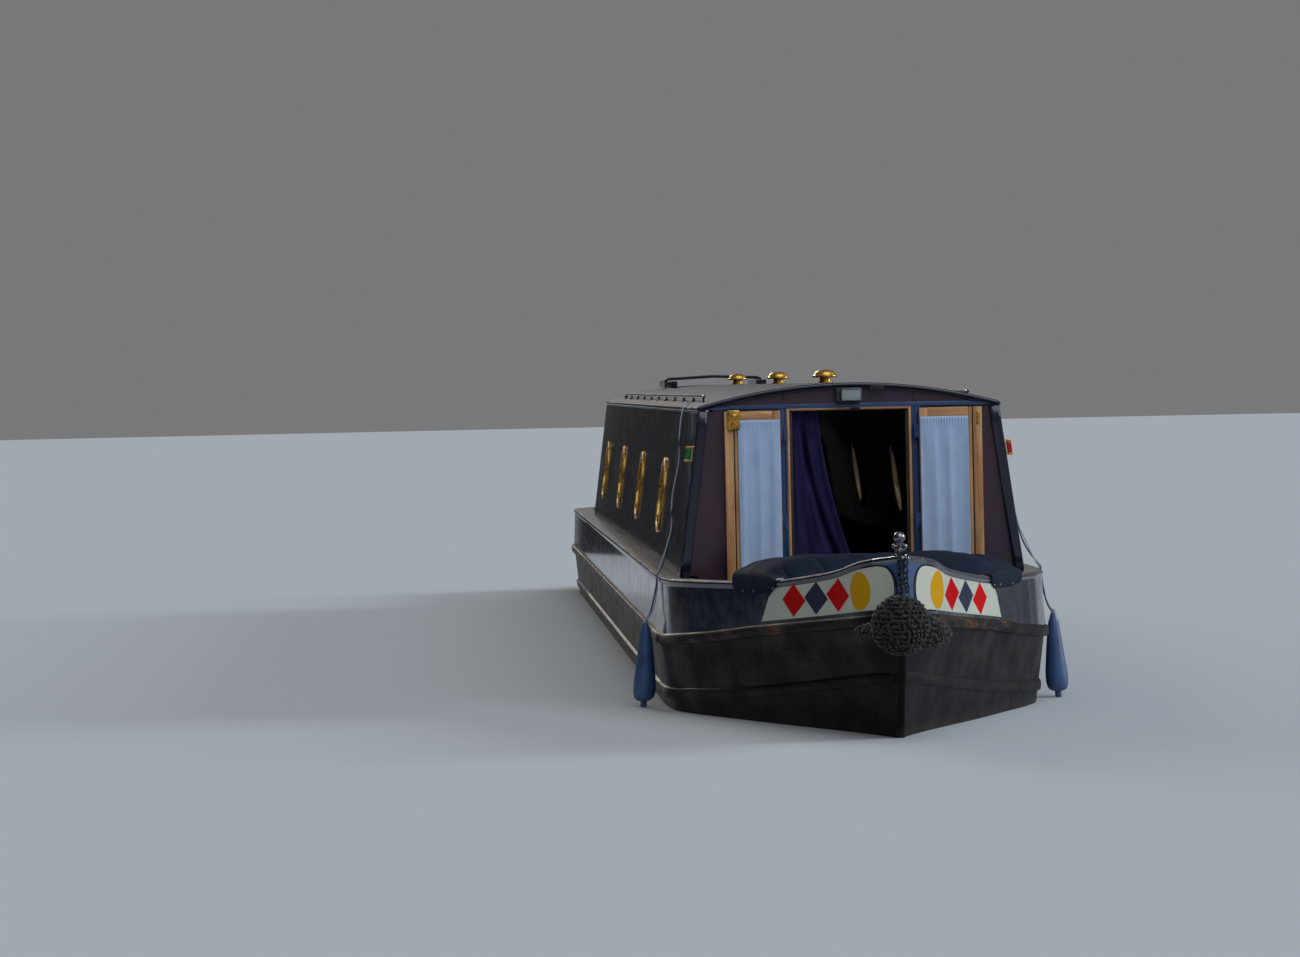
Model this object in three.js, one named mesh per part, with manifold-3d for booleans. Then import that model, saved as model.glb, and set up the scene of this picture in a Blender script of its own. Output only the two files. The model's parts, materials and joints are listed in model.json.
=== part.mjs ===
// A steel narrowboat, full size, in millimetres. In the tables Y runs aft from the stem's foremost
// point, X to port and Z up from the bottom of the base plate. The bow points to -Y.
import * as THREE from 'three';
import * as BufferGeometryUtils from 'three/addons/utils/BufferGeometryUtils.js';
import Module from 'manifold-3d';

const wasm = await Module();
wasm.setup();

// Driving dimensions
const hullLength = 17370;
const waterline = 530;
const plateThickness = 30;
const wall = 50;
const roofThickness = 30;
const gap = 0.3;
const swing = 6;
const frontY = 2600;
const cabinEndY = 14800;
const overhang = 20;
const sternStraightY = 13900;
const sideDeckZ = 1240;
const guardHeight = 60;
const guardProud = 20;
const gunwaleLip = 151;
const edgeHeight = 32;
const edgeProud = 7;
const cabinBaseHalf = 932.5;
const cabinTopHalf = 809.5;
const eavesZ = 2154;
const roofCrownZ = 2267;
const floorTopZ = 230;
const wellFloorZ = 680;
const doorwayHalf = 306;
const frameHalf = 337;
const doorwayHeadZ = 2116;
const frameHeadHeight = 20;
const frontSillZ = 830;
const deckZ = 1190;
const uxterZ = 515;
const portholeRadius = 200;
const portholeZ = 1620;
const portholeYs = [5230, 7960, 10690, 13420];
const rudderY = 16950;
const shaftZ = 265;
const sternCurveY = 16500;

const paint = {
  black: { color: 0x1d1c1c, roughness: 0.75, metalness: 0.1 },
  navy: { color: 0x14213d, roughness: 0.22, metalness: 0.1 },
  roof: { color: 0x1c2238, roughness: 0.4, metalness: 0.1 },
  maroon: { color: 0x30202c, roughness: 0.3, metalness: 0.1 },
  wood: { color: 0xa8763e, roughness: 0.5, metalness: 0 },
  floor: { color: 0x6b5138, roughness: 0.8, metalness: 0 },
  canvas: { color: 0x1a2130, roughness: 0.9, metalness: 0 },
  cloth: { color: 0x9fb0cc, roughness: 0.95, metalness: 0 },
  purple: { color: 0x2a1c3c, roughness: 0.95, metalness: 0 },
  rope: { color: 0x2b2c2e, roughness: 0.95, metalness: 0 },
  line: { color: 0xb9c2cf, roughness: 0.9, metalness: 0 },
  fender: { color: 0x24457c, roughness: 0.55, metalness: 0 },
  brass: { color: 0xb8893c, roughness: 0.3, metalness: 0.9 },
  steel: { color: 0x5d5f61, roughness: 0.5, metalness: 0.8 },
  engine: { color: 0x2f5a49, roughness: 0.6, metalness: 0.3 },
  red: { color: 0xa01818, roughness: 0.3, metalness: 0 },
  green: { color: 0x186a30, roughness: 0.3, metalness: 0 },
};

// Sections of the bow, one row a station. Guard and gunwale share their Y.
const bowStations = [
  // y, guard half, gunwale half, shell half, guard Z, gunwale Z, lower guard Z, water Y, water half, base Y, base half
  [60, 62, 60, 24, 1152, 1424, 860, 300, 22, 760, 22],
  [250, 182, 180, 162, 1132, 1398, 842, 480, 95, 900, 75],
  [540, 290, 287, 282, 1108, 1341, 812, 720, 200, 1090, 160],
  [970, 470, 466, 468, 1070, 1290, 766, 1080, 375, 1380, 310],
  [1330, 606, 601, 606, 1040, 1262, 730, 1400, 530, 1650, 475],
  [1810, 808, 798, 808, 990, 1250, 690, 1840, 725, 2020, 685],
  [2200, 962, 950, 962, 960, 1244, 668, 2210, 885, 2330, 855],
  [2540, 1030, 1017, 1030, 943, 1240, 651, 2550, 978, 2620, 945],
  [3200, 1045, 1033, 1045, 940, 1240, 645, 3200, 1004, 3200, 982],
].map(([y, guardHalf, topHalf, shellHalf, guardZ, topZ, lowerZ, waterY, waterHalf, baseY, baseHalf]) => ({
  y, guardHalf, topHalf, shellHalf, guardZ, topZ, lowerZ, waterY, waterHalf, baseY, baseHalf,
}));
const midship = bowStations[bowStations.length - 1];

// Sections of the underwater stern
const swimStations = [
  // y, half at the base plate, half at the counter's bottom
  [13900, 982, 1002],
  [14600, 820, 862],
  [15300, 530, 612],
  [15900, 250, 320],
  [16350, 30, 30],
].map(([y, baseHalf, topHalf]) => ({ y, baseHalf, topHalf }));

const sides = [['port', 1], ['starboard', -1]];
const ordered = (a, b) => (a < b ? [a, b] : [b, a]);
const boat = new THREE.Group();

function add(name, geometry, finish) {
  const mesh = new THREE.Mesh(geometry, new THREE.MeshStandardMaterial(finish));
  mesh.name = name;
  boat.add(mesh);
  return mesh;
}

// Straight-line interpolation in a table of rows
function along(rows, keyY, keyValue, y) {
  const last = rows.length - 1;
  if (y <= rows[0][keyY]) return rows[0][keyValue];
  if (y >= rows[last][keyY]) return rows[last][keyValue];
  const next = rows.findIndex((row) => row[keyY] >= y);
  const a = rows[next - 1];
  const b = rows[next];
  return THREE.MathUtils.mapLinear(y, a[keyY], b[keyY], a[keyValue], b[keyValue]);
}

// Half-breadth of the lower hull's outside at a place
function hullHalf(y, z) {
  const base = along(bowStations, 'baseY', 'baseHalf', y);
  const water = along(bowStations, 'waterY', 'waterHalf', y);
  const guard = along(bowStations, 'y', 'shellHalf', y);
  const guardZ = along(bowStations, 'y', 'guardZ', y);
  if (z < waterline) return THREE.MathUtils.mapLinear(z, 0, waterline, base, water);
  return THREE.MathUtils.mapLinear(z, waterline, guardZ, water, guard);
}

const cabinHalf = (z) =>
  THREE.MathUtils.mapLinear(z, sideDeckZ, eavesZ, cabinBaseHalf, cabinTopHalf);
const roofZ = (x) => roofCrownZ - (roofCrownZ - eavesZ) * (x / cabinTopHalf) ** 2;

// A closed body through rings of points. The caps are cut in the plane across the given axis (0, 1 or 2).
function loft(rings, axis = 1) {
  const count = rings[0].length;
  const index = [];
  for (let ring = 0; ring + 1 < rings.length; ring++) {
    for (let i = 0; i < count; i++) {
      const a = ring * count + i;
      const b = ring * count + ((i + 1) % count);
      index.push(a, b, b + count, a, b + count, a + count);
    }
  }
  cap(rings[0], 0, axis, true, index);
  cap(rings[rings.length - 1], (rings.length - 1) * count, axis, false, index);
  return outwards(rings.flat(2), index);
}

function cap(ring, offset, axis, reversed, index) {
  const flat = ring.map((point) => new THREE.Vector2(...point.filter((_, i) => i !== axis)));
  const area = THREE.ShapeUtils.area(flat);
  for (const face of THREE.ShapeUtils.triangulateShape(flat, [])) {
    const sameWay = THREE.ShapeUtils.area(face.map((i) => flat[i])) * area > 0;
    const corners = face.map((i) => i + offset);
    if (sameWay === reversed) corners.reverse();
    index.push(...corners);
  }
}

function outwards(positions, index) {
  const at = (i) => new THREE.Vector3(...positions.slice(3 * i, 3 * i + 3));
  let volume = 0;
  for (let i = 0; i < index.length; i += 3) {
    volume += at(index[i]).dot(at(index[i + 1]).cross(at(index[i + 2])));
  }
  if (volume < 0) index.reverse();
  const geometry = new THREE.BufferGeometry();
  geometry.setAttribute('position', new THREE.Float32BufferAttribute(positions, 3));
  geometry.setIndex(index);
  geometry.computeVertexNormals();
  return geometry;
}

// An outline in the plane across an axis, pulled from one place on the axis to another
function prism(outline, axis, from, to) {
  const place = ([u, v], w) => (axis === 0 ? [w, u, v] : axis === 1 ? [u, w, v] : [u, v, w]);
  return loft([from, to].map((w) => outline.map((point) => place(point, w))), axis);
}

function box(x0, x1, y0, y1, z0, z1) {
  return prism([[x0, z0], [x1, z0], [x1, z1], [x0, z1]], 1, y0, y1);
}

function toManifold(geometry) {
  const bare = geometry.clone();
  bare.deleteAttribute('normal');
  bare.deleteAttribute('uv');
  const merged = BufferGeometryUtils.mergeVertices(bare, 1e-3);
  const mesh = new wasm.Mesh({
    numProp: 3,
    vertProperties: new Float32Array(merged.attributes.position.array),
    triVerts: new Uint32Array(merged.index.array),
  });
  return new wasm.Manifold(mesh);
}

function fromManifold(solid) {
  const mesh = solid.getMesh();
  const geometry = new THREE.BufferGeometry();
  geometry.setAttribute('position', new THREE.BufferAttribute(mesh.vertProperties, 3));
  geometry.setIndex(new THREE.BufferAttribute(mesh.triVerts, 1));
  geometry.computeVertexNormals();
  return geometry;
}

const join = (...shapes) => fromManifold(shapes.map(toManifold).reduce((a, b) => a.add(b)));
const cut = (shape, ...tools) =>
  fromManifold(tools.map(toManifold).reduce((a, b) => a.subtract(b), toManifold(shape)));

function cylinder(radius, from, to, sides = 24) {
  const start = new THREE.Vector3(...from);
  const end = new THREE.Vector3(...to);
  const span = end.clone().sub(start);
  const shape = new THREE.CylinderGeometry(radius, radius, span.length(), sides);
  const up = new THREE.Vector3(0, 1, 0);
  shape.applyQuaternion(new THREE.Quaternion().setFromUnitVectors(up, span.normalize()));
  const middle = start.add(end).multiplyScalar(0.5);
  return shape.translate(middle.x, middle.y, middle.z);
}

// A profile of [radius, z] turned about an upright axis at x, y
function turned(profile, x, y, sides = 20) {
  const shape = new THREE.LatheGeometry(profile.map(([r, z]) => new THREE.Vector2(r, z)), sides);
  return shape.rotateX(Math.PI / 2).translate(x, y, 0);
}

// A round bar through points, its radius given at each
function bar(points, radii, sides = 12) {
  const places = points.map((point) => new THREE.Vector3(...point));
  const rings = places.map((place, i) => {
    const before = places[Math.max(0, i - 1)];
    const after = places[Math.min(places.length - 1, i + 1)];
    const tangent = after.clone().sub(before).normalize();
    const side = new THREE.Vector3(0, 0, 1).cross(tangent).normalize();
    const rise = tangent.clone().cross(side);
    return Array.from({ length: sides }, (_, k) => {
      const angle = (2 * Math.PI * k) / sides;
      return place.clone()
        .addScaledVector(side, radii[i] * Math.cos(angle))
        .addScaledVector(rise, radii[i] * Math.sin(angle))
        .toArray();
    });
  });
  return loft(rings, axisOf(places));
}

function axisOf(places) {
  const first = places[1].clone().sub(places[0]).toArray().map(Math.abs);
  return first.indexOf(Math.max(...first));
}

function tube(points, radius, steps, sides = 10) {
  const curve = new THREE.CatmullRomCurve3(points.map((point) => new THREE.Vector3(...point)));
  const section = new THREE.Shape();
  section.absarc(0, 0, radius, 0, 2 * Math.PI);
  const options = { steps, bevelEnabled: false, extrudePath: curve, curveSegments: sides / 2 };
  return new THREE.ExtrudeGeometry(section, options);
}

// Outline of the base plate and of the slab of floor, bearers and ballast over it
function basePlate() {
  const half = [
    ...bowStations.map((s) => [s.baseHalf, s.baseY]),
    ...swimStations.map((s) => [s.baseHalf, s.y]),
  ];
  const outline = [...half, ...half.map(([x, y]) => [-x, y]).reverse()];
  return prism(outline, 2, 0, plateThickness);
}

function cabinFloor() {
  const inset = wall + 22;
  const ys = [frontY, 2900, 3200, 13900, 14600, 15300, 15650];
  const half = ys.map((y) => {
    const base = y < 5000 ? along(bowStations, 'baseY', 'baseHalf', y) : along(swimStations, 'y', 'baseHalf', y);
    return [base - inset, y];
  });
  const outline = [...half, ...half.map(([x, y]) => [-x, y]).reverse()];
  return prism(outline, 2, plateThickness + gap, floorTopZ);
}

// Lower hull: plate from the base to the upper guard, with both guards welded on
function shellRing(s, side) {
  const levelPoint = (z, proud = 0) => {
    const t = (z - waterline) / (s.guardZ - waterline);
    const half = THREE.MathUtils.lerp(s.waterHalf, s.shellHalf, t);
    return [half + proud, THREE.MathUtils.lerp(s.waterY, s.y, t), z];
  };
  const inner = (half) => Math.max(3, half - wall);
  const lowerProud = Math.min(16, 5 + s.shellHalf / 40);
  const low = s.lowerZ - guardHeight;
  const high = s.guardZ - guardHeight;
  const guardHalf = s.guardHalf + guardProud;
  const points = [
    [s.baseHalf, s.baseY, plateThickness + gap],
    [s.waterHalf, s.waterY, waterline],
    levelPoint(low),
    levelPoint(low + 8, lowerProud),
    levelPoint(s.lowerZ - 8, lowerProud),
    levelPoint(s.lowerZ),
    levelPoint(high),
    [guardHalf - 4, s.y, high],
    [guardHalf, s.y, high + 10],
    [guardHalf, s.y, s.guardZ - 10],
    [guardHalf - 8, s.y, s.guardZ],
    [inner(s.shellHalf), s.y, s.guardZ],
    [inner(s.waterHalf), s.waterY, waterline],
    [inner(s.baseHalf), s.baseY, plateThickness + gap],
  ];
  return points.map(([x, y, z]) => [side * x, y, z]);
}

const bowShell = (side) => loft(bowStations.map((s) => shellRing(s, side)));
const hullSide = (side) => {
  const ring = shellRing(midship, side);
  const at = (y) => ring.map(([x, , z]) => [x, y, z]);
  return loft([at(midship.y + gap), at(sternStraightY - gap)]);
};

// Topside: plate above the upper guard, with the gunwale turned inwards at its top
function topsideRing(s, side, lip) {
  const inner = (half) => Math.max(3, half);
  const under = s.topZ - 45;
  const points = [
    [s.guardHalf, s.guardZ + gap],
    [s.topHalf, s.topZ - edgeHeight],
    [s.topHalf + edgeProud, s.topZ - edgeHeight + 3],
    [s.topHalf + edgeProud, s.topZ - 7],
    [s.topHalf, s.topZ],
    [inner(s.topHalf - lip), s.topZ],
    [inner(s.topHalf - lip), under],
    [inner(s.topHalf - wall) + 2, under],
    [inner(s.guardHalf - wall) + 2, s.guardZ + gap],
  ];
  return points.map(([x, z]) => [side * x, s.y, z]);
}

const lipAt = (y) => (y >= midship.y ? gunwaleLip : y > 2500 ? 135 : 80);
const topsideBow = (side) => loft(bowStations.map((s) => topsideRing(s, side, lipAt(s.y))));
const topsideSide = (side) => {
  const ring = topsideRing(midship, side, gunwaleLip);
  const at = (y) => ring.map(([x, , z]) => [x, y, z]);
  return loft([at(midship.y + gap), at(sternStraightY - gap)]);
};

// Plan of the stern, port to starboard round the counter, as points with outward normals
function sternPath(half) {
  const rise = hullLength - sternCurveY;
  const steps = 12;
  const path = [{ x: half, y: sternStraightY, nx: 1, ny: 0 }];
  for (let i = 0; i <= steps; i++) {
    const angle = (Math.PI * i) / steps;
    const normal = new THREE.Vector2(Math.cos(angle) / half, Math.sin(angle) / rise).normalize();
    path.push({
      x: half * Math.cos(angle),
      y: sternCurveY + rise * Math.sin(angle),
      nx: normal.x,
      ny: normal.y,
    });
  }
  path.push({ x: -half, y: sternStraightY, nx: -1, ny: 0 });
  return path;
}

// A band round the stern with a profile of [distance out from the path, z]
function sternBand(half, profile) {
  return loft(sternPath(half).map((p) => profile.map(([out, z]) => [p.x + p.nx * out, p.y + p.ny * out, z])));
}

function counterShell() {
  const s = midship;
  const flare = s.guardHalf - s.waterHalf;
  const out = (z) => -flare * (s.guardZ - z) / (s.guardZ - waterline);
  const low = s.lowerZ - guardHeight;
  const high = s.guardZ - guardHeight;
  return sternBand(s.guardHalf, [
    [out(uxterZ), uxterZ + gap],
    [out(low), low],
    [out(low) + 16, low + 8],
    [out(s.lowerZ) + 16, s.lowerZ - 8],
    [out(s.lowerZ), s.lowerZ],
    [out(high), high],
    [guardProud - 4, high],
    [guardProud, high + 10],
    [guardProud, s.guardZ - 10],
    [guardProud - 8, s.guardZ],
    [-wall, s.guardZ],
    [out(uxterZ) - wall, uxterZ + gap],
  ]);
}

function counterTopside() {
  const s = midship;
  const lean = s.topHalf - s.guardHalf;
  return sternBand(s.guardHalf, [
    [0, s.guardZ + gap],
    [lean, s.topZ - edgeHeight],
    [lean + edgeProud, s.topZ - edgeHeight + 3],
    [lean + edgeProud, s.topZ - 7],
    [lean, s.topZ],
    [lean - gunwaleLip, s.topZ],
    [lean - gunwaleLip, s.topZ - 45],
    [lean - wall + 2, s.topZ - 45],
    [2 - wall, s.guardZ + gap],
  ]);
}

// A flat plate inside the stern's plan, from a given Y aft
function sternPlate(half, inset, fromY, z0, z1) {
  const path = sternPath(half).map((p) => [p.x - p.nx * inset, p.y - p.ny * inset]);
  path[0][1] = fromY;
  path[path.length - 1][1] = fromY;
  return prism(path, 2, z0, z1);
}

const stockHole = (z0, z1) => cylinder(34, [0, rudderY, z0], [0, rudderY, z1]);

function uxterPlate() {
  const plate = sternPlate(midship.waterHalf, 0, sternStraightY + 3, uxterZ - plateThickness, uxterZ);
  const inside = [...swimStations.slice(0, 3), { y: 15700, topHalf: 400 }]
    .map((s, i) => [s.topHalf - wall - 10, i ? s.y : s.y - 100]);
  const outline = [...inside, ...inside.map(([x, y]) => [-x, y]).reverse()];
  return cut(plate, prism(outline, 2, uxterZ - 60, uxterZ + 60), stockHole(400, 600));
}

function swim(side) {
  const top = uxterZ - plateThickness - gap;
  return loft(swimStations.map((s) => [
    [side * s.baseHalf, s.y, plateThickness + gap],
    [side * s.topHalf, s.y, top],
    [side * Math.max(3, s.topHalf - wall), s.y, top],
    [side * Math.max(3, s.baseHalf - wall), s.y, plateThickness + gap],
  ]));
}

// Stern post with the skeg that carries the rudder's heel, one bar cut to an L
function skeg() {
  const postY = swimStations[4].y + gap;
  const outline = [
    [postY, 0],
    [rudderY + 60, 0],
    [rudderY + 60, 40],
    [postY + 50, 40],
    [postY + 50, uxterZ - plateThickness - gap],
    [postY, uxterZ - plateThickness - gap],
  ];
  return prism(outline, 0, -30, 30);
}

// Stem bar with the rounded head above it
function stem() {
  const first = bowStations[0];
  const shelfZ = first.guardZ - guardHeight;
  const shelfY = THREE.MathUtils.mapLinear(shelfZ, waterline, first.guardZ, first.waterY, first.y);
  const rear = [
    [first.baseY, 0], [first.baseY, plateThickness], [first.waterY, waterline], [shelfY, shelfZ - gap],
    [first.y, shelfZ - gap], [first.y, first.guardZ],
  ];
  const front = rear.filter((_, i) => i !== 3 && i !== 4);
  const depth = 45;
  const outline = [
    ...rear.map(([y, z]) => [y - gap, z]),
    ...front.map(([y, z]) => [y - gap - depth, z]).reverse(),
  ];
  const half = (radius, z0, z1) => {
    const arc = Array.from({ length: 13 }, (_, i) => {
      const angle = Math.PI + (Math.PI * i) / 12;
      return [radius * Math.cos(angle), first.y - gap + radius * Math.sin(angle)];
    });
    return prism(arc, 2, z0, z1);
  };
  return join(
    prism(outline, 0, -22, 22),
    half(first.guardHalf + guardProud - 2, shelfZ, first.guardZ),
    half(first.topHalf, first.guardZ - 5, first.topZ),
  );
}

const foredeckSlope = 0.121;
const foredeckZ = (y) => 1360 - (y - 300) * foredeckSlope;

function foredeck() {
  const ys = [150, 250, 540, 970, 1250];
  const deck = loft(ys.map((y) => {
    const half = along(bowStations, 'y', 'topHalf', y) - 81;
    const z = foredeckZ(y);
    return [[-half, y, z - 40], [half, y, z - 40], [half, y, z], [-half, y, z]];
  }));
  return cut(deck, box(-190, 190, 650, 1050, 1100, 1500));
}

function lockerLid() {
  return loft([620, 1080].map((y) => {
    const z = foredeckZ(y) + swing;
    return [[-225, y, z], [225, y, z], [225, y, z + 26], [210, y, z + 38], [-210, y, z + 38], [-225, y, z + 26]];
  }));
}

function lockerBulkhead() {
  const y = 1250;
  const inner = (z) => hullHalf(y, z) - wall - 16;
  const levels = [plateThickness + gap, waterline, foredeckZ(y + 40) - 40 - gap].map((z) => [inner(z), z]);
  levels[2][0] = inner(1000);
  levels.splice(2, 0, [inner(1000), 1000]);
  return prism([...levels, ...levels.map(([x, z]) => [-x, z]).reverse()], 1, y + gap, y + 40);
}

function wellFloor() {
  const ys = [1291, 1810, 2200, frontY - gap];
  return loft(ys.map((y) => {
    const half = hullHalf(y, wellFloorZ - 40) - wall - 6;
    return [[-half, y, wellFloorZ - 40], [half, y, wellFloorZ - 40], [half, y, wellFloorZ], [-half, y, wellFloorZ]];
  }));
}

// Cabin
const roofUnderZ = (x) => roofZ(x) - roofThickness;
const eavesUnderZ = eavesZ - roofThickness;

const roofUnderside = Array.from({ length: 9 }, (_, i) => 172 * (4 - i)).map((x) => [x, roofUnderZ(x)]);

function bulkheadOutline(bottomZ, bottomHalf) {
  const arc = roofUnderside.map(([x, z]) => [x, z - gap]);
  const shoulder = cabinHalf(eavesUnderZ) - wall - gap - 2;
  const right = [
    [bottomHalf, bottomZ],
    [bottomHalf, uxterZ + gap],
    [835, uxterZ + gap],
    [835, sideDeckZ + gap],
    [cabinHalf(sideDeckZ) - wall - gap - 1, sideDeckZ + gap],
    [shoulder, eavesUnderZ - gap],
    [736, eavesUnderZ - gap],
  ];
  return [...right, ...arc, ...right.map(([x, z]) => [-x, z]).reverse()];
}

function bulkhead(y0, y1, bottomHalf, sillZ) {
  const slab = prism(bulkheadOutline(floorTopZ + gap, bottomHalf), 1, y0, y1);
  return cut(slab, box(-frameHalf - gap, frameHalf + gap, y0 - 9, y1 + 9, sillZ, doorwayHeadZ + frameHeadHeight + 1));
}

// Jambs and head of a doorway
function doorwayFrame(y0, y1, sillZ) {
  const topZ = doorwayHeadZ + frameHeadHeight;
  const outer = [[-frameHalf, sillZ + gap], [-frameHalf, topZ], [frameHalf, topZ], [frameHalf, sillZ + gap]];
  const inner = [[doorwayHalf, sillZ + gap], [doorwayHalf, doorwayHeadZ], [-doorwayHalf, doorwayHeadZ], [-doorwayHalf, sillZ + gap]];
  return prism([...outer, ...inner], 1, y0, y1);
}

function cabinSide(side) {
  const outline = [
    [side * cabinBaseHalf, sideDeckZ + gap],
    [side * cabinHalf(eavesUnderZ - gap), eavesUnderZ - gap],
    [side * (cabinHalf(eavesUnderZ - gap) - wall), eavesUnderZ - gap],
    [side * (cabinBaseHalf - wall), sideDeckZ + gap],
  ];
  const holes = portholeYs.map((y) => cylinder(portholeRadius, [side * 700, y, portholeZ], [side * 1100, y, portholeZ]));
  return cut(prism(outline, 1, frontY - overhang, cabinEndY), ...holes);
}

const hatchFromY = 13960;
const runnerTopZ = 2300;

function roof() {
  const over = Array.from({ length: 11 }, (_, i) => 162.4 * (i - 5)).map((x) => [x, roofZ(x)]);
  const outline = [
    [-815, eavesUnderZ], ...over, [815, eavesUnderZ], [740, eavesUnderZ], ...roofUnderside, [-740, eavesUnderZ],
  ];
  const runner = (side) => box(...ordered(side * 330, side * 360), 13150, 14780, 2230, runnerTopZ);
  const rail = (side) => {
    const [x0, x1] = ordered(side * 722, side * 746);
    const bottom = roofZ(746) - 8;
    const outline = [[3300, bottom], [3330, bottom + 52], [13000, bottom + 52], [13030, bottom]];
    return prism(outline, 0, x0, x1);
  };
  const panel = prism(outline, 1, frontY - overhang, cabinEndY + overhang);
  const shell = join(panel, runner(1), runner(-1), rail(1), rail(-1));
  return cut(shell, box(-320, 320, hatchFromY + 40, 14740, 2000, 2400));
}

function hatch() {
  const side = 384;
  const z = runnerTopZ + swing;
  const outline = [
    [-side, 2252], [-side, z + 8], [-side + 30, z + 24], [0, z + 40], [side - 30, z + 24], [side, z + 8],
    [side, 2252], [side - 18, 2252], [side - 18, z], [0, z + 16], [-side + 18, z], [-side + 18, 2252],
  ];
  return prism(outline, 1, hatchFromY, cabinEndY);
}

// Door leaves hang on upright pins in front of the bulkhead's face
const pinOut = 44;
const pinX = 352.5;
const leafFrom = 22.5;
const leafWidth = 320;
const frontLeafWidth = { port: 338, starboard: 302 };
const leafHalfThickness = 17.5;
const doorTopZ = 2124;

function doorLeaf(x0, x1, pinY, bottomZ, windowFromZ) {
  const frame = 45;
  const slab = box(x0, x1, pinY - leafHalfThickness, pinY + leafHalfThickness, bottomZ, doorTopZ);
  return cut(slab, box(x0 + frame, x1 - frame, pinY - 60, pinY + 60, windowFromZ, doorTopZ - 60));
}


add('base_plate', basePlate(), paint.black);
for (const [name, side] of sides) {
  add(`bow_shell_${name}`, bowShell(side), paint.black);
  add(`hull_side_${name}`, hullSide(side), paint.black);
  add(`swim_${name}`, swim(side), paint.black);
  add(`topside_bow_${name}`, topsideBow(side), paint.navy);
  add(`topside_${name}`, topsideSide(side), paint.navy);
}
add('counter_shell', counterShell(), paint.black);
add('counter_topside', counterTopside(), paint.navy);
add('stem', stem(), paint.black);
add('skeg', skeg(), paint.black);
add('uxter_plate', uxterPlate(), paint.black);
add('foredeck', foredeck(), paint.navy);
add('locker_lid', lockerLid(), paint.navy);
add('locker_bulkhead', lockerBulkhead(), paint.navy);
add('well_floor', wellFloor(), paint.roof);
add('cabin_floor', cabinFloor(), paint.floor);
const aftDeck = cut(sternPlate(midship.guardHalf, wall + 12, cabinEndY + 3, deckZ - 40, deckZ), stockHole(1100, 1300));
add('aft_deck', aftDeck, paint.roof);

// Cabin panels and doors
add('front_bulkhead', bulkhead(frontY, frontY + 45, 790, frontSillZ), paint.maroon);
add('doorway_frame', doorwayFrame(frontY - 8, frontY + 45, frontSillZ), paint.wood);
add('rear_bulkhead', bulkhead(cabinEndY - 50, cabinEndY, 680, deckZ + 10), paint.maroon);
for (const [name, side] of sides) {
  add(`cabin_side_${name}`, cabinSide(side), paint.navy);
  const leafEnd = pinX + leafFrom + frontLeafWidth[name];
  const open = ordered(side * (pinX + leafFrom), side * leafEnd);
  add(`front_door_${name}`, doorLeaf(...open, frontY - pinOut, 845, 1240), paint.navy);
  const curtainX = ordered(side * (pinX + leafFrom + 8), side * (leafEnd - 66));
  const curtainY = frontY - pinOut - leafHalfThickness;
  add(`door_curtain_${name}`, box(...curtainX, curtainY - 10, curtainY - gap, 880, 2078), paint.cloth);
  const closed = ordered(side * (pinX - leafFrom), side * (pinX - leafFrom - leafWidth));
  add(`rear_door_${name}`, doorLeaf(...closed, cabinEndY + pinOut, deckZ + 16, 1560), paint.navy);
}
add('roof', roof(), paint.roof);
add('hatch', hatch(), paint.navy);
add('inner_curtain', box(-330, 16, frontY + 45 + gap, frontY + 75, 1300, 2150), paint.purple);

// Fittings on the roof and the front of the cabin
const ventYs = [4000, 7400, 11200];
ventYs.forEach((y, i) => {
  const z = roofCrownZ + gap;
  const profile = [[0, z], [46, z], [46, z + 7], [32, z + 12], [32, z + 32], [68, z + 34], [72, z + 42], [54, z + 66], [0, z + 77]];
  add(`roof_vent_${i + 1}`, turned(profile, 0, y), paint.brass);
});
const lampFaceY = frontY - overhang - gap;
add('tunnel_lamp', prism([
  [-74, 2175], [-62, 2163], [54, 2163], [66, 2175], [66, 2228], [54, 2240], [-62, 2240], [-74, 2228],
], 1, lampFaceY - 70, lampFaceY), paint.steel);
for (const [name, side] of sides) {
  const z0 = 1856;
  const z1 = 1943;
  const out = (z, d) => [side * (cabinHalf(z) + d), z];
  const outline = [out(z0, 0.5), out(z0 + 8, 42), out(z1 - 8, 42), out(z1, 0.5)];
  add(`nav_lamp_${name}`, prism(outline, 1, frontY + 10, frontY + 80), side > 0 ? paint.red : paint.green);
}

// T-shaped mooring stud on the bow, standing square to the sheer
function tStud() {
  const y = 110;
  const post = turned([[0, 0], [40, 0], [40, 10], [16, 18], [14, 60], [18, 74], [28, 86], [29, 100], [22, 114], [0, 124]], 0, y);
  const cross = cylinder(10, [-38, y, 52], [38, y, 52], 12);
  const first = bowStations[0];
  const shape = join(post, cross);
  const slope = (bowStations[0].topZ - bowStations[1].topZ) / (bowStations[1].y - first.y);
  const position = shape.attributes.position;
  for (let i = 0; i < position.count; i++) {
    const drop = slope * (position.getY(i) - first.y);
    position.setZ(i, position.getZ(i) + first.topZ + gap - Math.max(0, drop));
  }
  return shape;
}
add('t_stud', tStud(), paint.steel);

// Rope fenders: a ball with two tapered tails round the bow, and a plain one at the stern
const fenderZ = 1103;
const fenderTails = [
  // x, y, z, radius
  [[-50, -150, 1097, 90], [-108, -104, 1080, 72], [-150, -30, 1068, 54], [-192, 66, 1062, 40], [-214, 124, 1060, 26]],
  [[10, -150, 1095, 90], [78, -112, 1074, 80], [136, -44, 1056, 64], [184, 46, 1046, 54], [212, 104, 1042, 38]],
];

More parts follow.
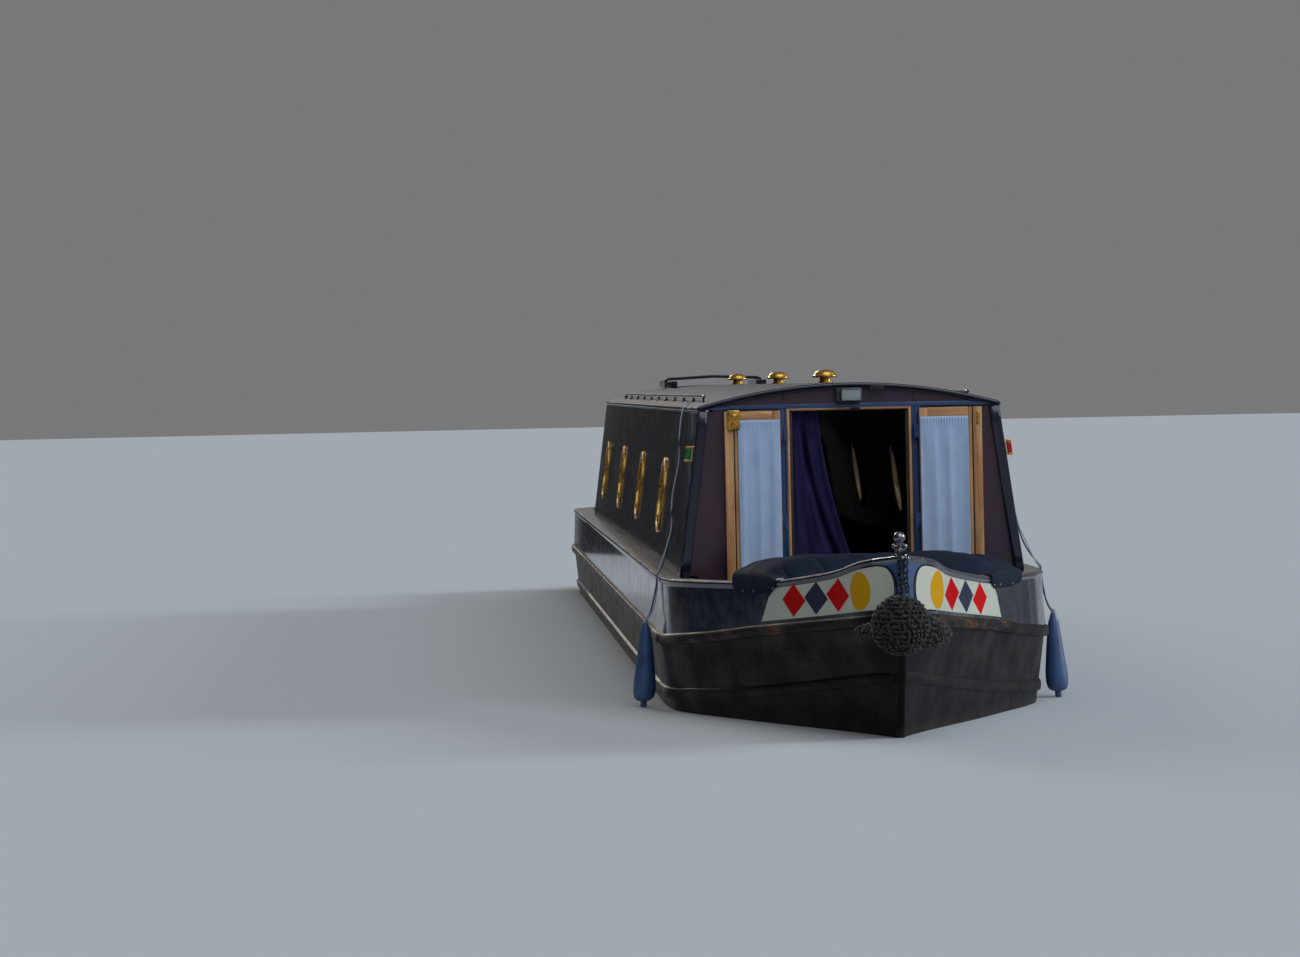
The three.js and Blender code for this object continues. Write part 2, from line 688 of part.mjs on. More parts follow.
function bowFender() {
  const arc = Array.from({ length: 13 }, (_, i) => (Math.PI * i) / 12);
  const profile = arc.map((angle) => [147 * Math.sin(angle), fenderZ - 151 * Math.cos(angle)]);
  const ball = turned(profile, -32, -172, 24);
  const tails = fenderTails.map((rows) => bar(rows.map(([x, y, z]) => [x, y, z]), rows.map((row) => row[3]), 16));
  return join(ball, ...tails);
}
add('bow_fender', bowFender(), paint.rope);
const sternFenderPath = [[-190, 17470, 60], [-100, 17500, 90], [0, 17512, 118], [100, 17500, 90], [190, 17470, 60]];
add('stern_fender', bar(sternFenderPath.map(([x, y]) => [x, y, 905]), sternFenderPath.map((p) => p[2]), 14), paint.rope);
const chainOutline = [[64, 1436], [-12, 1436], [-20, 1340], [-110, 1262], [-110, 1280], [-36, 1350], [-26, 1452], [64, 1452]];
add('bow_chain', prism(chainOutline, 0, -22, 22), paint.steel);

// Side fenders on their lines
const sideFenderX = 1112;
const sideFenderY = 2780;
for (const [name, side] of sides) {
  const profile = [
    [0, 505], [16, 508], [18, 540], [40, 560], [60, 610], [65, 670], [60, 760], [48, 850], [30, 920], [16, 950], [14, 966], [0, 968],
  ];
  const x = side * sideFenderX;
  add(`side_fender_${name}`, turned(profile, x, sideFenderY, 18), paint.fender);
  const route = [
    [side * 836, 3600, 2140], [side * 905, 3290, 1745], [side * 1002, 2860, 1330], [side * 1042, 2790, 1262],
    [side * 1054, 2782, 1190], [side * 1106, 2780, 1040], [x, sideFenderY, 971],
  ];
  add(`fender_line_${name}`, tube(route, 8, 30, 8), paint.line);
}

// Cover over the front of the well, hooked outside the gunwale and laid a little askew
function wellCover() {
  const thickness = 8;
  const skew = 0.145;
  const overhangZ = 64;
  const rows = [
    // y at the middle, crown Z
    [1265, 1345], [1400, 1386], [1580, 1392], [1735, 1390],
  ];
  const edgeAt = (middleY, side) => {
    let half = 700;
    for (let i = 0; i < 6; i++) half = along(bowStations, 'y', 'guardHalf', middleY + skew * side * half) + 18;
    return { half, topZ: along(bowStations, 'y', 'topZ', middleY + skew * side * half) };
  };
  return loft(rows.map(([y, crownZ]) => {
    const outer = (side) => {
      const { half, topZ } = edgeAt(y, side);
      return [[half, topZ - overhangZ], [half, topZ + 14], [half - 70, crownZ - 26], [half - 200, crownZ]]
        .map(([x, z]) => [side * x, z]);
    };
    const inner = (side) => {
      const { half, topZ } = edgeAt(y, side);
      return [
        [half - 204, crownZ - thickness], [half - 76, crownZ - 26 - thickness],
        [half - thickness, topZ + 14 - thickness], [half - thickness, topZ - overhangZ],
      ].map(([x, z]) => [side * x, z]);
    };
    const ring = [...outer(1), ...outer(-1).reverse(), ...inner(-1).reverse(), ...inner(1)];
    return ring.map(([x, z]) => [x, y + skew * x, z]);
  }));
}
add('well_cover', wellCover(), paint.canvas);

// Engine, propeller and steering
add('engine', box(-255, 255, 14850, 15600, floorTopZ + gap, 820), paint.engine);
const tubeFromY = swimStations[4].y + 50 + 2 * gap;
add('stern_tube', cylinder(42, [0, tubeFromY, shaftZ], [0, tubeFromY + 160, shaftZ], 20), paint.steel);

function propeller() {
  const y = 16620;
  const blades = 3;
  const sections = [
    // radius, chord, pitch angle in degrees
    [25, 70, 62], [90, 120, 40], [150, 140, 28], [198, 70, 22],
  ];
  const blade = (turn) => {
    const shape = loft(sections.map(([radius, chord, pitch]) => {
      const a = THREE.MathUtils.degToRad(pitch);
      const along = [Math.cos(a), Math.sin(a)];
      const across = [-Math.sin(a), Math.cos(a)];
      return [[-1, 0], [0, -1], [1, 0], [0, 1]].map(([u, v]) => [
        0.5 * chord * u * along[0] + 5 * v * across[0],
        0.5 * chord * u * along[1] + 5 * v * across[1],
        radius,
      ]);
    }), 2);
    return shape.rotateY(turn).translate(0, y, shaftZ);
  };
  const hub = cylinder(34, [0, y - 50, shaftZ], [0, y + 60, shaftZ], 20);
  return join(hub, ...Array.from({ length: blades }, (_, i) => blade((2 * Math.PI * i) / blades)));
}
add('propeller', propeller(), paint.brass);

const stockTopZ = 1330;
add('rudder', join(
  cylinder(22, [0, rudderY, 46], [0, rudderY, stockTopZ], 20),
  box(-8, 8, rudderY - 160, rudderY + 380, 60, 465),
), paint.steel);
add('tiller', tube([
  [0, rudderY, stockTopZ + gap], [0, rudderY, 1480], [0, rudderY - 20, 1780], [0, rudderY - 130, 1960],
  [0, rudderY - 420, 2030], [0, rudderY - 800, 2058], [0, rudderY - 1200, 2076],
], 20, 24), paint.brass);

// Centre the boat's length on the origin
boat.updateMatrixWorld(true);
const reach = new THREE.Box3().setFromObject(boat);
boat.position.y = -(reach.min.y + reach.max.y) / 2;
boat.updateMatrixWorld(true);

export default boat;
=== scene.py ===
import json
import random
from contextlib import contextmanager
from math import cos, exp, hypot, pi, radians, sin

import bmesh
import bpy
import numpy as np
from mathutils import Matrix, Vector, noise
from mathutils.geometry import normal, tessellate_polygon

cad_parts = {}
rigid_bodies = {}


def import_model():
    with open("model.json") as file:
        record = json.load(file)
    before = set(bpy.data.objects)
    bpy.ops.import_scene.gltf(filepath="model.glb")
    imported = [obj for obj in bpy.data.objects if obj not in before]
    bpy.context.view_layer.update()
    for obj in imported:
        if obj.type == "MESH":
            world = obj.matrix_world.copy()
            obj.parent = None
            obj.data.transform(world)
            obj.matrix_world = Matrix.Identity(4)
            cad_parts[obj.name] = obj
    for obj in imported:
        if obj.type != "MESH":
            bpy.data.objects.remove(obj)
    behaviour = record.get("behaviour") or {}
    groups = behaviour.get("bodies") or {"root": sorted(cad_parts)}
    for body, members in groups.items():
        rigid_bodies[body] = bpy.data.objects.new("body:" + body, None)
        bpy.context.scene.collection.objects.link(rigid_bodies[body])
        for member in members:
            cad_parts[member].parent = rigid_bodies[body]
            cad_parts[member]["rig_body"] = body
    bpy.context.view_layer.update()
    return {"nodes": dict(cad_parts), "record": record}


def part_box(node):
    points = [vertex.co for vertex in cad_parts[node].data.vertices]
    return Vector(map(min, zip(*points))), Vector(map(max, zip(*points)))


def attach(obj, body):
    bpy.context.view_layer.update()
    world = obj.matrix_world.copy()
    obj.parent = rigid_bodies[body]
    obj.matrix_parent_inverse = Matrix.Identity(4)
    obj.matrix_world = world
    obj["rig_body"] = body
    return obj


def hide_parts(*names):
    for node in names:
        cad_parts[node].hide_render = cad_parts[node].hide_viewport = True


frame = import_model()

nodes = frame["nodes"]

# Boat places are metres to port, aft of the stem, and above the base plate
waterZ = 0.53
frontY = 2.6
cabinEndY = 14.8
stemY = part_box("front_bulkhead")[0].y - frontY
sides = {"port": 1, "starboard": -1}


def place(x, y, z):
    return Vector((x, stemY + y, z))


def srgb(red, green, blue):
    def one(value):
        value /= 255
        return value / 12.92 if value <= 0.04045 else ((value + 0.055) / 1.055) ** 2.4
    return (one(red), one(green), one(blue), 1)


# Camera at the photographer's place on the bank ahead of the bow
photo = {"width": 1300, "sensor": 36, "focal": 4503.957, "place": (-2.27782, -21.59598, 2.27728),
         "yaw": 0.04968, "pitch": 0.01082, "roll": 0.02097, "drop": 45}


def makeCamera():
    lens = bpy.data.cameras.new("bankCamera")
    lens.sensor_width = photo["sensor"]
    lens.lens = photo["focal"] * photo["sensor"] / photo["width"]
    lens.shift_y = -photo["drop"] / photo["width"]
    lens.clip_end = 500
    yaw, pitch, roll = photo["yaw"], photo["pitch"], photo["roll"]
    ahead = Vector((sin(yaw) * cos(pitch), cos(yaw) * cos(pitch), -sin(pitch)))
    level = Vector((cos(yaw), -sin(yaw), 0))
    above = level.cross(ahead)
    right = level * cos(roll) - above * sin(roll)
    up = level * sin(roll) + above * cos(roll)
    turn = Matrix((right, up, -ahead)).transposed().to_4x4()
    camera = linked("bankCamera", lens)
    camera.matrix_world = Matrix.Translation(place(*photo["place"])) @ turn
    bpy.context.scene.camera = camera


# A node tree in the making. A value that is a socket is linked, any other is set
class Net:

    def __init__(self, tree):
        self.tree = tree

    def feed(self, node, given):
        for key, value in given.items():
            if isinstance(value, bpy.types.NodeSocket):
                self.tree.links.new(value, node.inputs[key])
            else:
                node.inputs[key].default_value = value

    def node(self, kind, out, given, **settings):
        made = self.tree.nodes.new(kind)
        for key, value in settings.items():
            setattr(made, key, value)
        self.feed(made, given)
        return made.outputs[out]


# A finish in the making, mixed from noise on object coordinates or on a piece's own UV map
class Finish(Net):

    def __init__(self, name, colour, roughness=0.5, metal=0.0, coat=0.0, sheen=0.0, gloss=0.5):
        self.material = bpy.data.materials.new(name)
        self.material.use_nodes = True
        self.material.diffuse_color = colour
        super().__init__(self.material.node_tree)
        self.shader = self.tree.nodes["Principled BSDF"]
        self.feed(self.shader, {"Base Color": colour, "Roughness": roughness, "Metallic": metal,
                                "Coat Weight": coat, "Coat Roughness": 0.08, "Sheen Weight": sheen,
                                "Specular IOR Level": gloss})

    def coordinates(self, stretch=(1, 1, 1), turn=(0, 0, 0), source="Object"):
        start = self.node("ShaderNodeTexCoord", source, {})
        return self.node("ShaderNodeMapping", "Vector",
                         {"Vector": start, "Scale": stretch, "Rotation": turn})

    def noise(self, scale, detail, stretch=(1, 1, 1), distortion=0.0, source="Object", rough=0.55):
        return self.node("ShaderNodeTexNoise", "Fac", {
            "Vector": self.coordinates(stretch, source=source), "Scale": scale, "Detail": detail,
            "Roughness": rough, "Distortion": distortion})

    def span(self, value, low, high, outLow=0.0, outHigh=1.0):
        return self.node("ShaderNodeMapRange", "Result", {
            "Value": value, "From Min": low, "From Max": high, "To Min": outLow, "To Max": outHigh})

    def mix(self, factor, first, second):
        return self.node("ShaderNodeMix", 2, {0: factor, 6: first, 7: second}, data_type="RGBA")

    # The second colour lies over the first where a noise rises from low to high
    def stain(self, under, over, low, high, most, *grain, **more):
        return self.mix(self.span(self.noise(*grain, **more), low, high, 0, most), under, over)

    def maths(self, operation, first, second):
        return self.node("ShaderNodeMath", 0, {0: first, 1: second}, operation=operation)

    def heightAt(self, low, high):
        start = self.node("ShaderNodeTexCoord", "Object", {})
        return self.span(self.node("ShaderNodeSeparateXYZ", "Z", {0: start}), low, high)

    def surface(self, colour, roughness=None):
        self.feed(self.shader, {"Base Color": colour} | ({"Roughness": roughness} if roughness else {}))

    def bump(self, height, strength, distance):
        given = {"Height": height, "Strength": strength, "Distance": distance}
        before = self.shader.inputs["Normal"]
        if before.is_linked:
            given["Normal"] = before.links[0].from_socket
        self.feed(self.shader, {"Normal": self.node("ShaderNodeBump", "Normal", given)})


def makePlain(name, colour, roughness, gloss=0.5):
    return Finish(name, colour, roughness, gloss=gloss).material


# Gloss enamel over steel: worn patches, a film of dust, and streaks that ran down the side
def makePaint(name, colour, second, roughness, coat, worn, gloss=0.4):
    f = Finish(name, colour, roughness, coat=coat, gloss=gloss)
    grey = tuple(0.6 * c + 0.4 * g for c, g in zip(colour, srgb(90, 92, 98)))
    shade = f.stain(colour, second, 0.35, 0.7, 1, 2.3, 5)
    shade = f.stain(shade, grey, 0.52, 0.8, 0.6 * worn, 9, 8, (1, 1, 0.35), rough=0.7)
    shade = f.stain(shade, grey, 0.55, 0.72, 0.7 * worn, 16, 5, (1, 1, 0.07), rough=0.7)
    shade = f.stain(shade, srgb(104, 100, 96), 0.69, 0.74, 0.5 * worn, 40, 3, (0.6, 0.1, 1.6), rough=0.8)
    f.surface(shade, f.span(f.noise(14, 6), 0.3, 0.75, roughness - 0.06, roughness + 0.16))
    f.bump(f.noise(7, 2, (1, 1, 0.12)), 0.10, 0.006)
    f.bump(f.noise(160, 2), 0.02, 0.001)
    return f.material


# Bitumen on the hull: near black, brown along the guards, with long level scuffs and a dull foot
def makeBlacking(name, rusty, brown):
    f = Finish(name, srgb(10, 10, 11), gloss=0.14)
    shade = f.stain(srgb(5, 4, 6), srgb(15, 13, 17), 0.35, 0.7, 1, 1.4, 6)
    low = f.span(f.noise(3.2, 8, (1, 0.5, 2.2), rough=0.72), 0.5, 0.68, 0, rusty)
    shade = f.mix(f.maths("MULTIPLY", low, f.heightAt(0.76, 1.12)), shade, brown)
    shade = f.stain(shade, srgb(46, 42, 41), 0.57, 0.68, 0.35, 7, 6, (0.4, 0.4, 7), rough=0.75)
    shade = f.stain(shade, srgb(78, 72, 70), 0.67, 0.71, 0.5, 26, 3, (0.25, 0.25, 6), rough=0.8)
    scum = f.maths("ADD", f.heightAt(0.64, waterZ), f.noise(18, 6))
    shade = f.mix(f.span(scum, 0.95, 1.4, 0, 0.5), shade, srgb(50, 50, 46))
    f.surface(shade, f.span(f.noise(5, 7), 0.3, 0.7, 0.36, 0.66))
    f.bump(f.noise(3.1, 3, (1, 0.6, 1)), 0.3, 0.02)
    f.bump(f.noise(60, 5), 0.25, 0.002)
    return f.material


# Varnished pine, its grain along one axis
def makeWood(name, along):
    f = Finish(name, srgb(178, 126, 66), 0.34, coat=0.45)
    stretch = tuple(1.1 if axis == along else 26 for axis in "XYZ")
    grain = f.noise(1.0, 5, stretch, 1.6)
    fine = f.noise(5.0, 4, stretch, 0.4, rough=0.7)
    shade = f.mix(f.span(grain, 0.3, 0.7), srgb(156, 104, 62), srgb(218, 168, 116))
    shade = f.mix(f.span(fine, 0.52, 0.72, 0, 0.55), shade, srgb(112, 66, 28))
    shade = f.stain(shade, srgb(92, 66, 42), 0.56, 0.8, 0.45, 6, 6)
    f.surface(shade, f.span(fine, 0.3, 0.7, 0.26, 0.5))
    f.bump(fine, 0.25, 0.0015)
    return f.material


# The wave texture's scale for waves of this length
def wavesOf(length):
    return 1 / length / 6.283


# Woven cloth on the sheet's own UV map, which is laid out in metres
def makeCloth(name, colour, second, thread, weave, roughness=0.9):
    f = Finish(name, colour, roughness, gloss=0.2)
    shade = f.stain(colour, second, 0.35, 0.7, 1, 9, 4, source="UV")
    warp, weft = (f.node("ShaderNodeTexWave", "Fac", {
        "Vector": f.coordinates(turn=(0, 0, turn), source="UV"), "Scale": wavesOf(thread),
        "Distortion": 0.6, "Detail": 1, "Detail Scale": 2}) for turn in (0, pi / 2))
    cross = f.maths("MULTIPLY", warp, weft)
    # Painted shade in the gaps between the threads
    f.surface(f.mix(f.span(cross, 0, 1, 0.25 * weave, 0), shade, (0.02, 0.02, 0.03, 1)))
    f.bump(cross, weave, 0.0006)
    f.bump(f.noise(14, 4, source="UV"), 0.12, 0.004)
    return f.material


# Laid rope: three strands that wind round, on a UV map of turns across and metres along. Its light colour on
# the strands is a painted highlight, its dark colour between them painted shade
def makeRope(name, colour, second, pitch):
    f = Finish(name, colour, 0.85, sheen=0.15)
    strands, across = 3, 0.96003
    strand = f.node("ShaderNodeTexWave", "Fac", {
        "Vector": f.coordinates((across, wavesOf(pitch) * strands, 1), source="UV"), "Scale": 1,
        "Distortion": 0.4, "Detail": 2}, wave_profile="SIN")
    fibre = f.noise(220, 3)
    # Painted highlight on the strands and painted shade in the grooves between them
    strandHighlightAndShade = f.mix(f.span(strand, 0.1, 0.9), second, colour)
    f.surface(f.mix(f.span(fibre, 0.45, 0.7, 0, 0.5), strandHighlightAndShade, second))
    f.bump(strand, 0.8, 0.004)
    f.bump(fibre, 0.5, 0.0015)
    return f.material


def makeMetal(name, colour, second, roughness, dull=0.5):
    f = Finish(name, colour, roughness, metal=1.0)
    shade = f.stain(colour, second, 0.45, 0.75, dull, 24, 6, rough=0.7)
    f.surface(shade, f.span(f.noise(60, 5), 0.3, 0.7, roughness - 0.06, roughness + 0.2))
    f.bump(f.noise(120, 4), 0.12, 0.0006)
    return f.material


# Non-slip deck paint with trodden dirt
def makeGrit(name, colour, second, grit=0.5):
    f = Finish(name, colour, 0.62)
    shade = f.stain(colour, second, 0.35, 0.7, 1, 1.7, 6)
    shade = f.stain(shade, srgb(96, 90, 80), 0.5, 0.78, 0.5, 5, 8, rough=0.7)
    f.surface(shade, f.span(f.noise(11, 5), 0.3, 0.7, 0.52, 0.66))
    f.bump(f.noise(260, 2), grit, 0.0012)
    f.bump(f.noise(1.2, 1), 0.04, 0.01)
    return f.material


def makeVinyl(name, colour, second):
    f = Finish(name, colour, 0.42, coat=0.15)
    shade = f.stain(colour, second, 0.4, 0.7, 1, 9, 6)
    shade = f.stain(shade, srgb(60, 62, 66), 0.56, 0.72, 0.5, 22, 6, (1, 1, 0.3), rough=0.75)
    f.surface(shade, f.span(f.noise(30, 5), 0.3, 0.7, 0.32, 0.6))
    f.bump(f.noise(90, 3), 0.15, 0.001)
    return f.material


def makeGlass(name, colour, roughness, clear):
    f = Finish(name, colour, roughness, coat=0.3)
    f.bump(f.noise(8, 2), 0.02, 0.002)
    f.feed(f.shader, {"Transmission Weight": clear, "IOR": 1.45,
                      "Roughness": f.span(f.noise(16, 5), 0.4, 0.8, roughness, roughness + 0.12)})
    return f.material


# Each finish has its maker, its own name, and what the maker asks for. Threes are colours
looks = {
    "blacking": (makeBlacking, "blacking", 0.8, (84, 56, 42)),
    "guard": (makeBlacking, "guardBlacking", 1.0, (116, 78, 52)),
    "navy": (makePaint, "navyPaint", (10, 19, 46), (6, 12, 33), 0.16, 0.55, 0.05),
    "border": (makePaint, "borderPaint", (12, 14, 24), (9, 11, 20), 0.3, 0.0, 0.0, 0.2),
    "navyTrim": (makePaint, "navyTrimPaint", (44, 76, 124), (34, 60, 106), 0.2, 0.4, 0.05),
    "maroon": (makePaint, "maroonPaint", (66, 42, 54), (52, 40, 62), 0.28, 0.25, 0.1),
    "roof": (makeGrit, "roofPaint", (38, 44, 66), (28, 34, 54)),
    "deck": (makeGrit, "deckPaint", (40, 46, 62), (30, 34, 48), 0.8),
    # Dark finish for inner faces: painted shade in the doorway rebate and inside the cabin
    "lining": (makeGrit, "darkLining", (40, 33, 30), (26, 23, 22), 0.1),
    "cream": (makePaint, "creamPaint", (190, 193, 178), (176, 180, 170), 0.42, 0.0, 0.15, 0.15),
    "yellow": (makePaint, "yellowPaint", (200, 150, 0), (186, 136, 0), 0.5, 0.0, 0.05, 0.05),
    "red": (makePaint, "redPaint", (196, 5, 6), (172, 2, 8), 0.5, 0.0, 0.04, 0.03),
    "slate": (makePaint, "slatePaint", (32, 43, 72), (24, 34, 58), 0.45, 0.0, 0.1, 0.15),
    "woodUp": (makeWood, "varnishedWood", "Z"),
    "woodAcross": (makeWood, "varnishedRail", "X"),
    "woodRing": (makeWood, "varnishedLiner", "Y"),
    "boards": (makeWood, "floorBoards", "Y"),
    "curtain": (makeCloth, "curtainCloth", (178, 200, 232), (166, 190, 224), 0.0012, 0.2),
    "purple": (makeCloth, "purpleCloth", (43, 36, 82), (30, 25, 64), 0.0015, 0.2),
    "canvas": (makeCloth, "canvasCloth", (12, 21, 42), (18, 28, 50), 0.0016, 0.35, 0.85),
    "rope": (makeRope, "tarredRope", (84, 94, 112), (14, 15, 18), 0.05),
    # Near-black fender core: partly the tar's own black, partly painted shade in the gaps between the bights
    "tarAndGapShade": (makePlain, "tarredCore", (5, 5, 6), 0.9),
    "whiteLine": (makeRope, "whiteLine", (214, 220, 226), (120, 128, 140), 0.03),
    "blueLine": (makeRope, "blueLine", (52, 74, 128), (20, 28, 60), 0.03),
    "vinyl": (makeVinyl, "blueVinyl", (54, 84, 128), (38, 62, 102)),
    "rubber": (makeVinyl, "blackRubber", (26, 26, 27), (40, 40, 40)),
    "brass": (makeMetal, "brass", (206, 160, 74), (120, 84, 40), 0.24),
    "chrome": (makeMetal, "wornChrome", (128, 130, 136), (64, 64, 68), 0.14, 0.35),
    "steel": (makeMetal, "bareSteel", (120, 120, 124), (70, 58, 50), 0.36, 0.7),
    "darkSteel": (makeMetal, "darkSteel", (60, 60, 64), (34, 28, 26), 0.42, 0.8),
    "engine": (makePaint, "enginePaint", (40, 88, 70), (28, 64, 52), 0.45, 0.1, 1.0),
    "redLens": (makeGlass, "redLens", (220, 16, 18), 0.08, 0.55),
    "greenLens": (makeGlass, "greenLens", (20, 140, 60), 0.08, 0.55),
    "lampGlass": (makeGlass, "lampGlass", (206, 222, 222), 0.12, 0.55),
    "paneGlass": (makeGlass, "paneGlass", (216, 226, 224), 0.02, 0.95)}
finishes = {key: make(name, *(srgb(*v) if isinstance(v, tuple) else v for v in rest))
            for key, (make, name, *rest) in looks.items()}
print("finishes ready", len(finishes))


# A mesh object at the origin. marks gives a material number for each face
def newPiece(name, points, faces, materials, smooth=True, marks=None, uvs=None):
    mesh = bpy.data.meshes.new(name)
    mesh.from_pydata([tuple(p) for p in points], [], [tuple(f) for f in faces])
    for material in materials:
        mesh.materials.append(material)
    if marks:
        mesh.polygons.foreach_set("material_index", marks)
    mesh.polygons.foreach_set("use_smooth", [smooth] * len(mesh.polygons))
    if uvs:
        layer = mesh.uv_layers.new(name="UVMap")
        for loop in mesh.loops:
            layer.data[loop.index].uv = uvs[loop.vertex_index]
    mesh.validate()
    return linked(name, mesh)


def linked(name, data):
    made = bpy.data.objects.new(name, data)
    bpy.context.scene.collection.objects.link(made)
    return made


# A mesh opened for editing, and written back when the block ends
@contextmanager
def edited(mesh):
    work = bmesh.new()
    work.from_mesh(mesh)
    yield work
    work.to_mesh(mesh)
    work.free()


def tidyMesh(piece, merge):
    with edited(piece.data) as work:
        if merge:
            bmesh.ops.remove_doubles(work, verts=work.verts, dist=merge)
        bmesh.ops.recalc_face_normals(work, faces=work.faces)
    return piece


def applyModifiers(piece):
    bpy.context.view_layer.update()
    graph = bpy.context.evaluated_depsgraph_get()
    mesh = bpy.data.meshes.new_from_object(piece.evaluated_get(graph))
    old = piece.data
    piece.modifiers.clear()
    piece.data = mesh
    mesh.name = piece.name
    if old.users == 0:
        bpy.data.meshes.remove(old)
    return piece


def bevelled(piece, width, segments):
    bevel = piece.modifiers.new("edges", "BEVEL")
    bevel.width = width
    bevel.segments = segments
    bevel.limit_method = "ANGLE"
    bevel.angle_limit = radians(35)
    return applyModifiers(piece)


# Points and faces gathered from several parts, each with its own material number
class Shape:

    def __init__(self):
        self.points, self.faces, self.marks, self.uvs = [], [], [], []

    def add(self, points, faces, mark=0, uvs=None):
        start = len(self.points)
        self.points += [Vector(p) for p in points]
        self.faces += [[start + i for i in face] for face in faces]
        self.marks += [mark] * len(faces)
        self.uvs += list(uvs) if uvs else [(p[0] + p[1], p[2]) for p in points]

    def box(self, low, high, cut, mark=0):
        self.add(*boxParts(low, high, cut), mark)

    # A box on one side of the boat, from its sizes outwards, aft and up
    def sideBox(self, side, xs, ys, zs, cut=0.003, mark=0):
        x0, x1 = sorted((side * xs[0], side * xs[1]))
        self.box(place(x0, ys[0], zs[0]), place(x1, ys[1], zs[1]), cut, mark)

    def turn(self, profile, centre, axis=(0, 0, 1), steps=32, mark=0):
        self.add(*latheParts(profile, centre, axis, steps), mark)

    def loft(self, rings, mark=0, uvs=None):
        self.add(*cappedLoft(rings), mark, uvs)

    def tube(self, line, radius, around=10, mark=0):
        points, faces, uvs = tubeParts(line, radius, around)
        self.add(points, faces, mark, uvs)

    def piece(self, name, looks, smooth=True, angle=40):
        made = newPiece(name, self.points, self.faces, [finishes[look] for look in looks.split()], smooth,
                        self.marks, self.uvs)
        if smooth:
            made.data.set_sharp_from_angle(angle=radians(angle))
        return made

    # The piece turned outwards, merged, and settled on its body. Without a merge it stays as it is
    def finish(self, name, looks, body="hull", slot=None, replaced=(), merge=0, smooth=True, angle=40):
        made = self.piece(name, looks, smooth, angle)
        if merge is not None:
            tidyMesh(made, merge)
        return settle(made, body, replaced)


def ringFaces(ringCount, around, closedPath=False):
    faces = []
    for ring in range(ringCount - (0 if closedPath else 1)):
        after = (ring + 1) % ringCount
        for i in range(around):
            j = (i + 1) % around
            faces.append((ring * around + i, ring * around + j, after * around + j, after * around + i))
    return faces


# Points and faces of a solid through rings that run the same way
def cappedLoft(rings):
    around = len(rings[0])
    last = (len(rings) - 1) * around
    faces = ringFaces(len(rings), around)
    return [p for ring in rings for p in ring], [*faces, list(range(around))[::-1],
                                                 list(range(last, last + around))]


# A box whose edges are cut back, as points and faces
def boxParts(low, high, cut):
    corners = [(x, y, z) for x in (low[0], high[0]) for y in (low[1], high[1]) for z in (low[2], high[2])]
    faces = [(0, 1, 3, 2), (4, 6, 7, 5), (0, 4, 5, 1), (2, 3, 7, 6), (0, 2, 6, 4), (1, 5, 7, 3)]
    if not cut:
        return corners, faces
    work = bmesh.new()
    made = [work.verts.new(c) for c in corners]
    for face in faces:
        work.faces.new([made[i] for i in face])
    bmesh.ops.bevel(work, geom=work.edges[:], offset=cut, segments=2, profile=0.5, affect="EDGES")
    parts = partsOf(work)
    work.free()
    return parts


def partsOf(work):
    work.verts.index_update()
    return [v.co.copy() for v in work.verts], [[v.index for v in f.verts] for f in work.faces]


# A profile of (radius, height) turned about an axis through centre. Its ends may be on the axis
def latheParts(profile, centre, axis, steps):
    axis = Vector(axis).normalized()
    side = axis.orthogonal().normalized()
    other = axis.cross(side)
    points, rings = [], []
    for radius, height in profile:
        middle = Vector(centre) + axis * height
        if radius < 1e-6:
            rings.append([len(points)])
            points.append(middle)
            continue
        rings.append(list(range(len(points), len(points) + steps)))
        for k in range(steps):
            angle = 2 * pi * k / steps
            points.append(middle + side * radius * cos(angle) + other * radius * sin(angle))
    faces = []
    for a, b in zip(rings, rings[1:]):
        for k in range(steps):
            n = (k + 1) % steps
            if len(a) == 1 and len(b) > 1:
                faces.append((a[0], b[k], b[n]))
            elif len(b) == 1 and len(a) > 1:
                faces.append((a[k], b[0], a[n]))
            elif len(a) > 1:
                faces.append((a[k], b[k], b[n], a[n]))
    if len(rings[0]) > 1:
        faces.append(rings[0])
    if len(rings[-1]) > 1:
        faces.append(rings[-1][::-1])
    return points, faces


# One span of a smooth curve through b and c, with a and d on either side
def between(a, b, c, d, t):
    bend, twist = 2 * a - 5 * b + 4 * c - d, 3 * b - a - 3 * c + d
    return 0.5 * ((2 * b) + (c - a) * t + bend * t * t + twist * t ** 3)


# Points on one smooth line through the given ones, evenly spaced
def smoothLine(points, steps):
    points = [Vector(p) for p in points]
    extended = [points[0] * 2 - points[1], *points, points[-1] * 2 - points[-2]]
    dense = [between(*extended[i - 1:i + 3], k / 24) for i in range(1, len(extended) - 2) for k in range(24)]
    dense.append(extended[-2])
    lengths = [0.0]
    for a, b in zip(dense, dense[1:]):
        lengths.append(lengths[-1] + (b - a).length)
    out = []
    for k in range(steps + 1):
        want = lengths[-1] * k / steps
        i = min(max(1, int(np.searchsorted(lengths, want))), len(dense) - 1)
        span = lengths[i] - lengths[i - 1]
        t = 0 if span < 1e-9 else (want - lengths[i - 1]) / span
        out.append(dense[i - 1].lerp(dense[i], min(1, max(0, t))))
    return out


# The point so many steps down a line, and the direction there
def pointOn(line, steps):
    last = len(line) - 1
    i = min(last - 1, int(steps))
    return line[i].lerp(line[i + 1], steps - i), (line[min(last, i + 2)] - line[max(0, i - 1)]).normalized()


# A side and a rise direction at each point of a line, turning as little as they can
def carriedFrames(line):
    last = len(line) - 1
    tangents = [(line[min(last, i + 1)] - line[max(0, i - 1)]).normalized() for i in range(last + 1)]
    side = tangents[0].orthogonal().normalized()
    frames = []
    for tangent in tangents:
        side = (side - tangent * side.dot(tangent)).normalized()
        frames.append((side.copy(), tangent.cross(side)))
    return frames


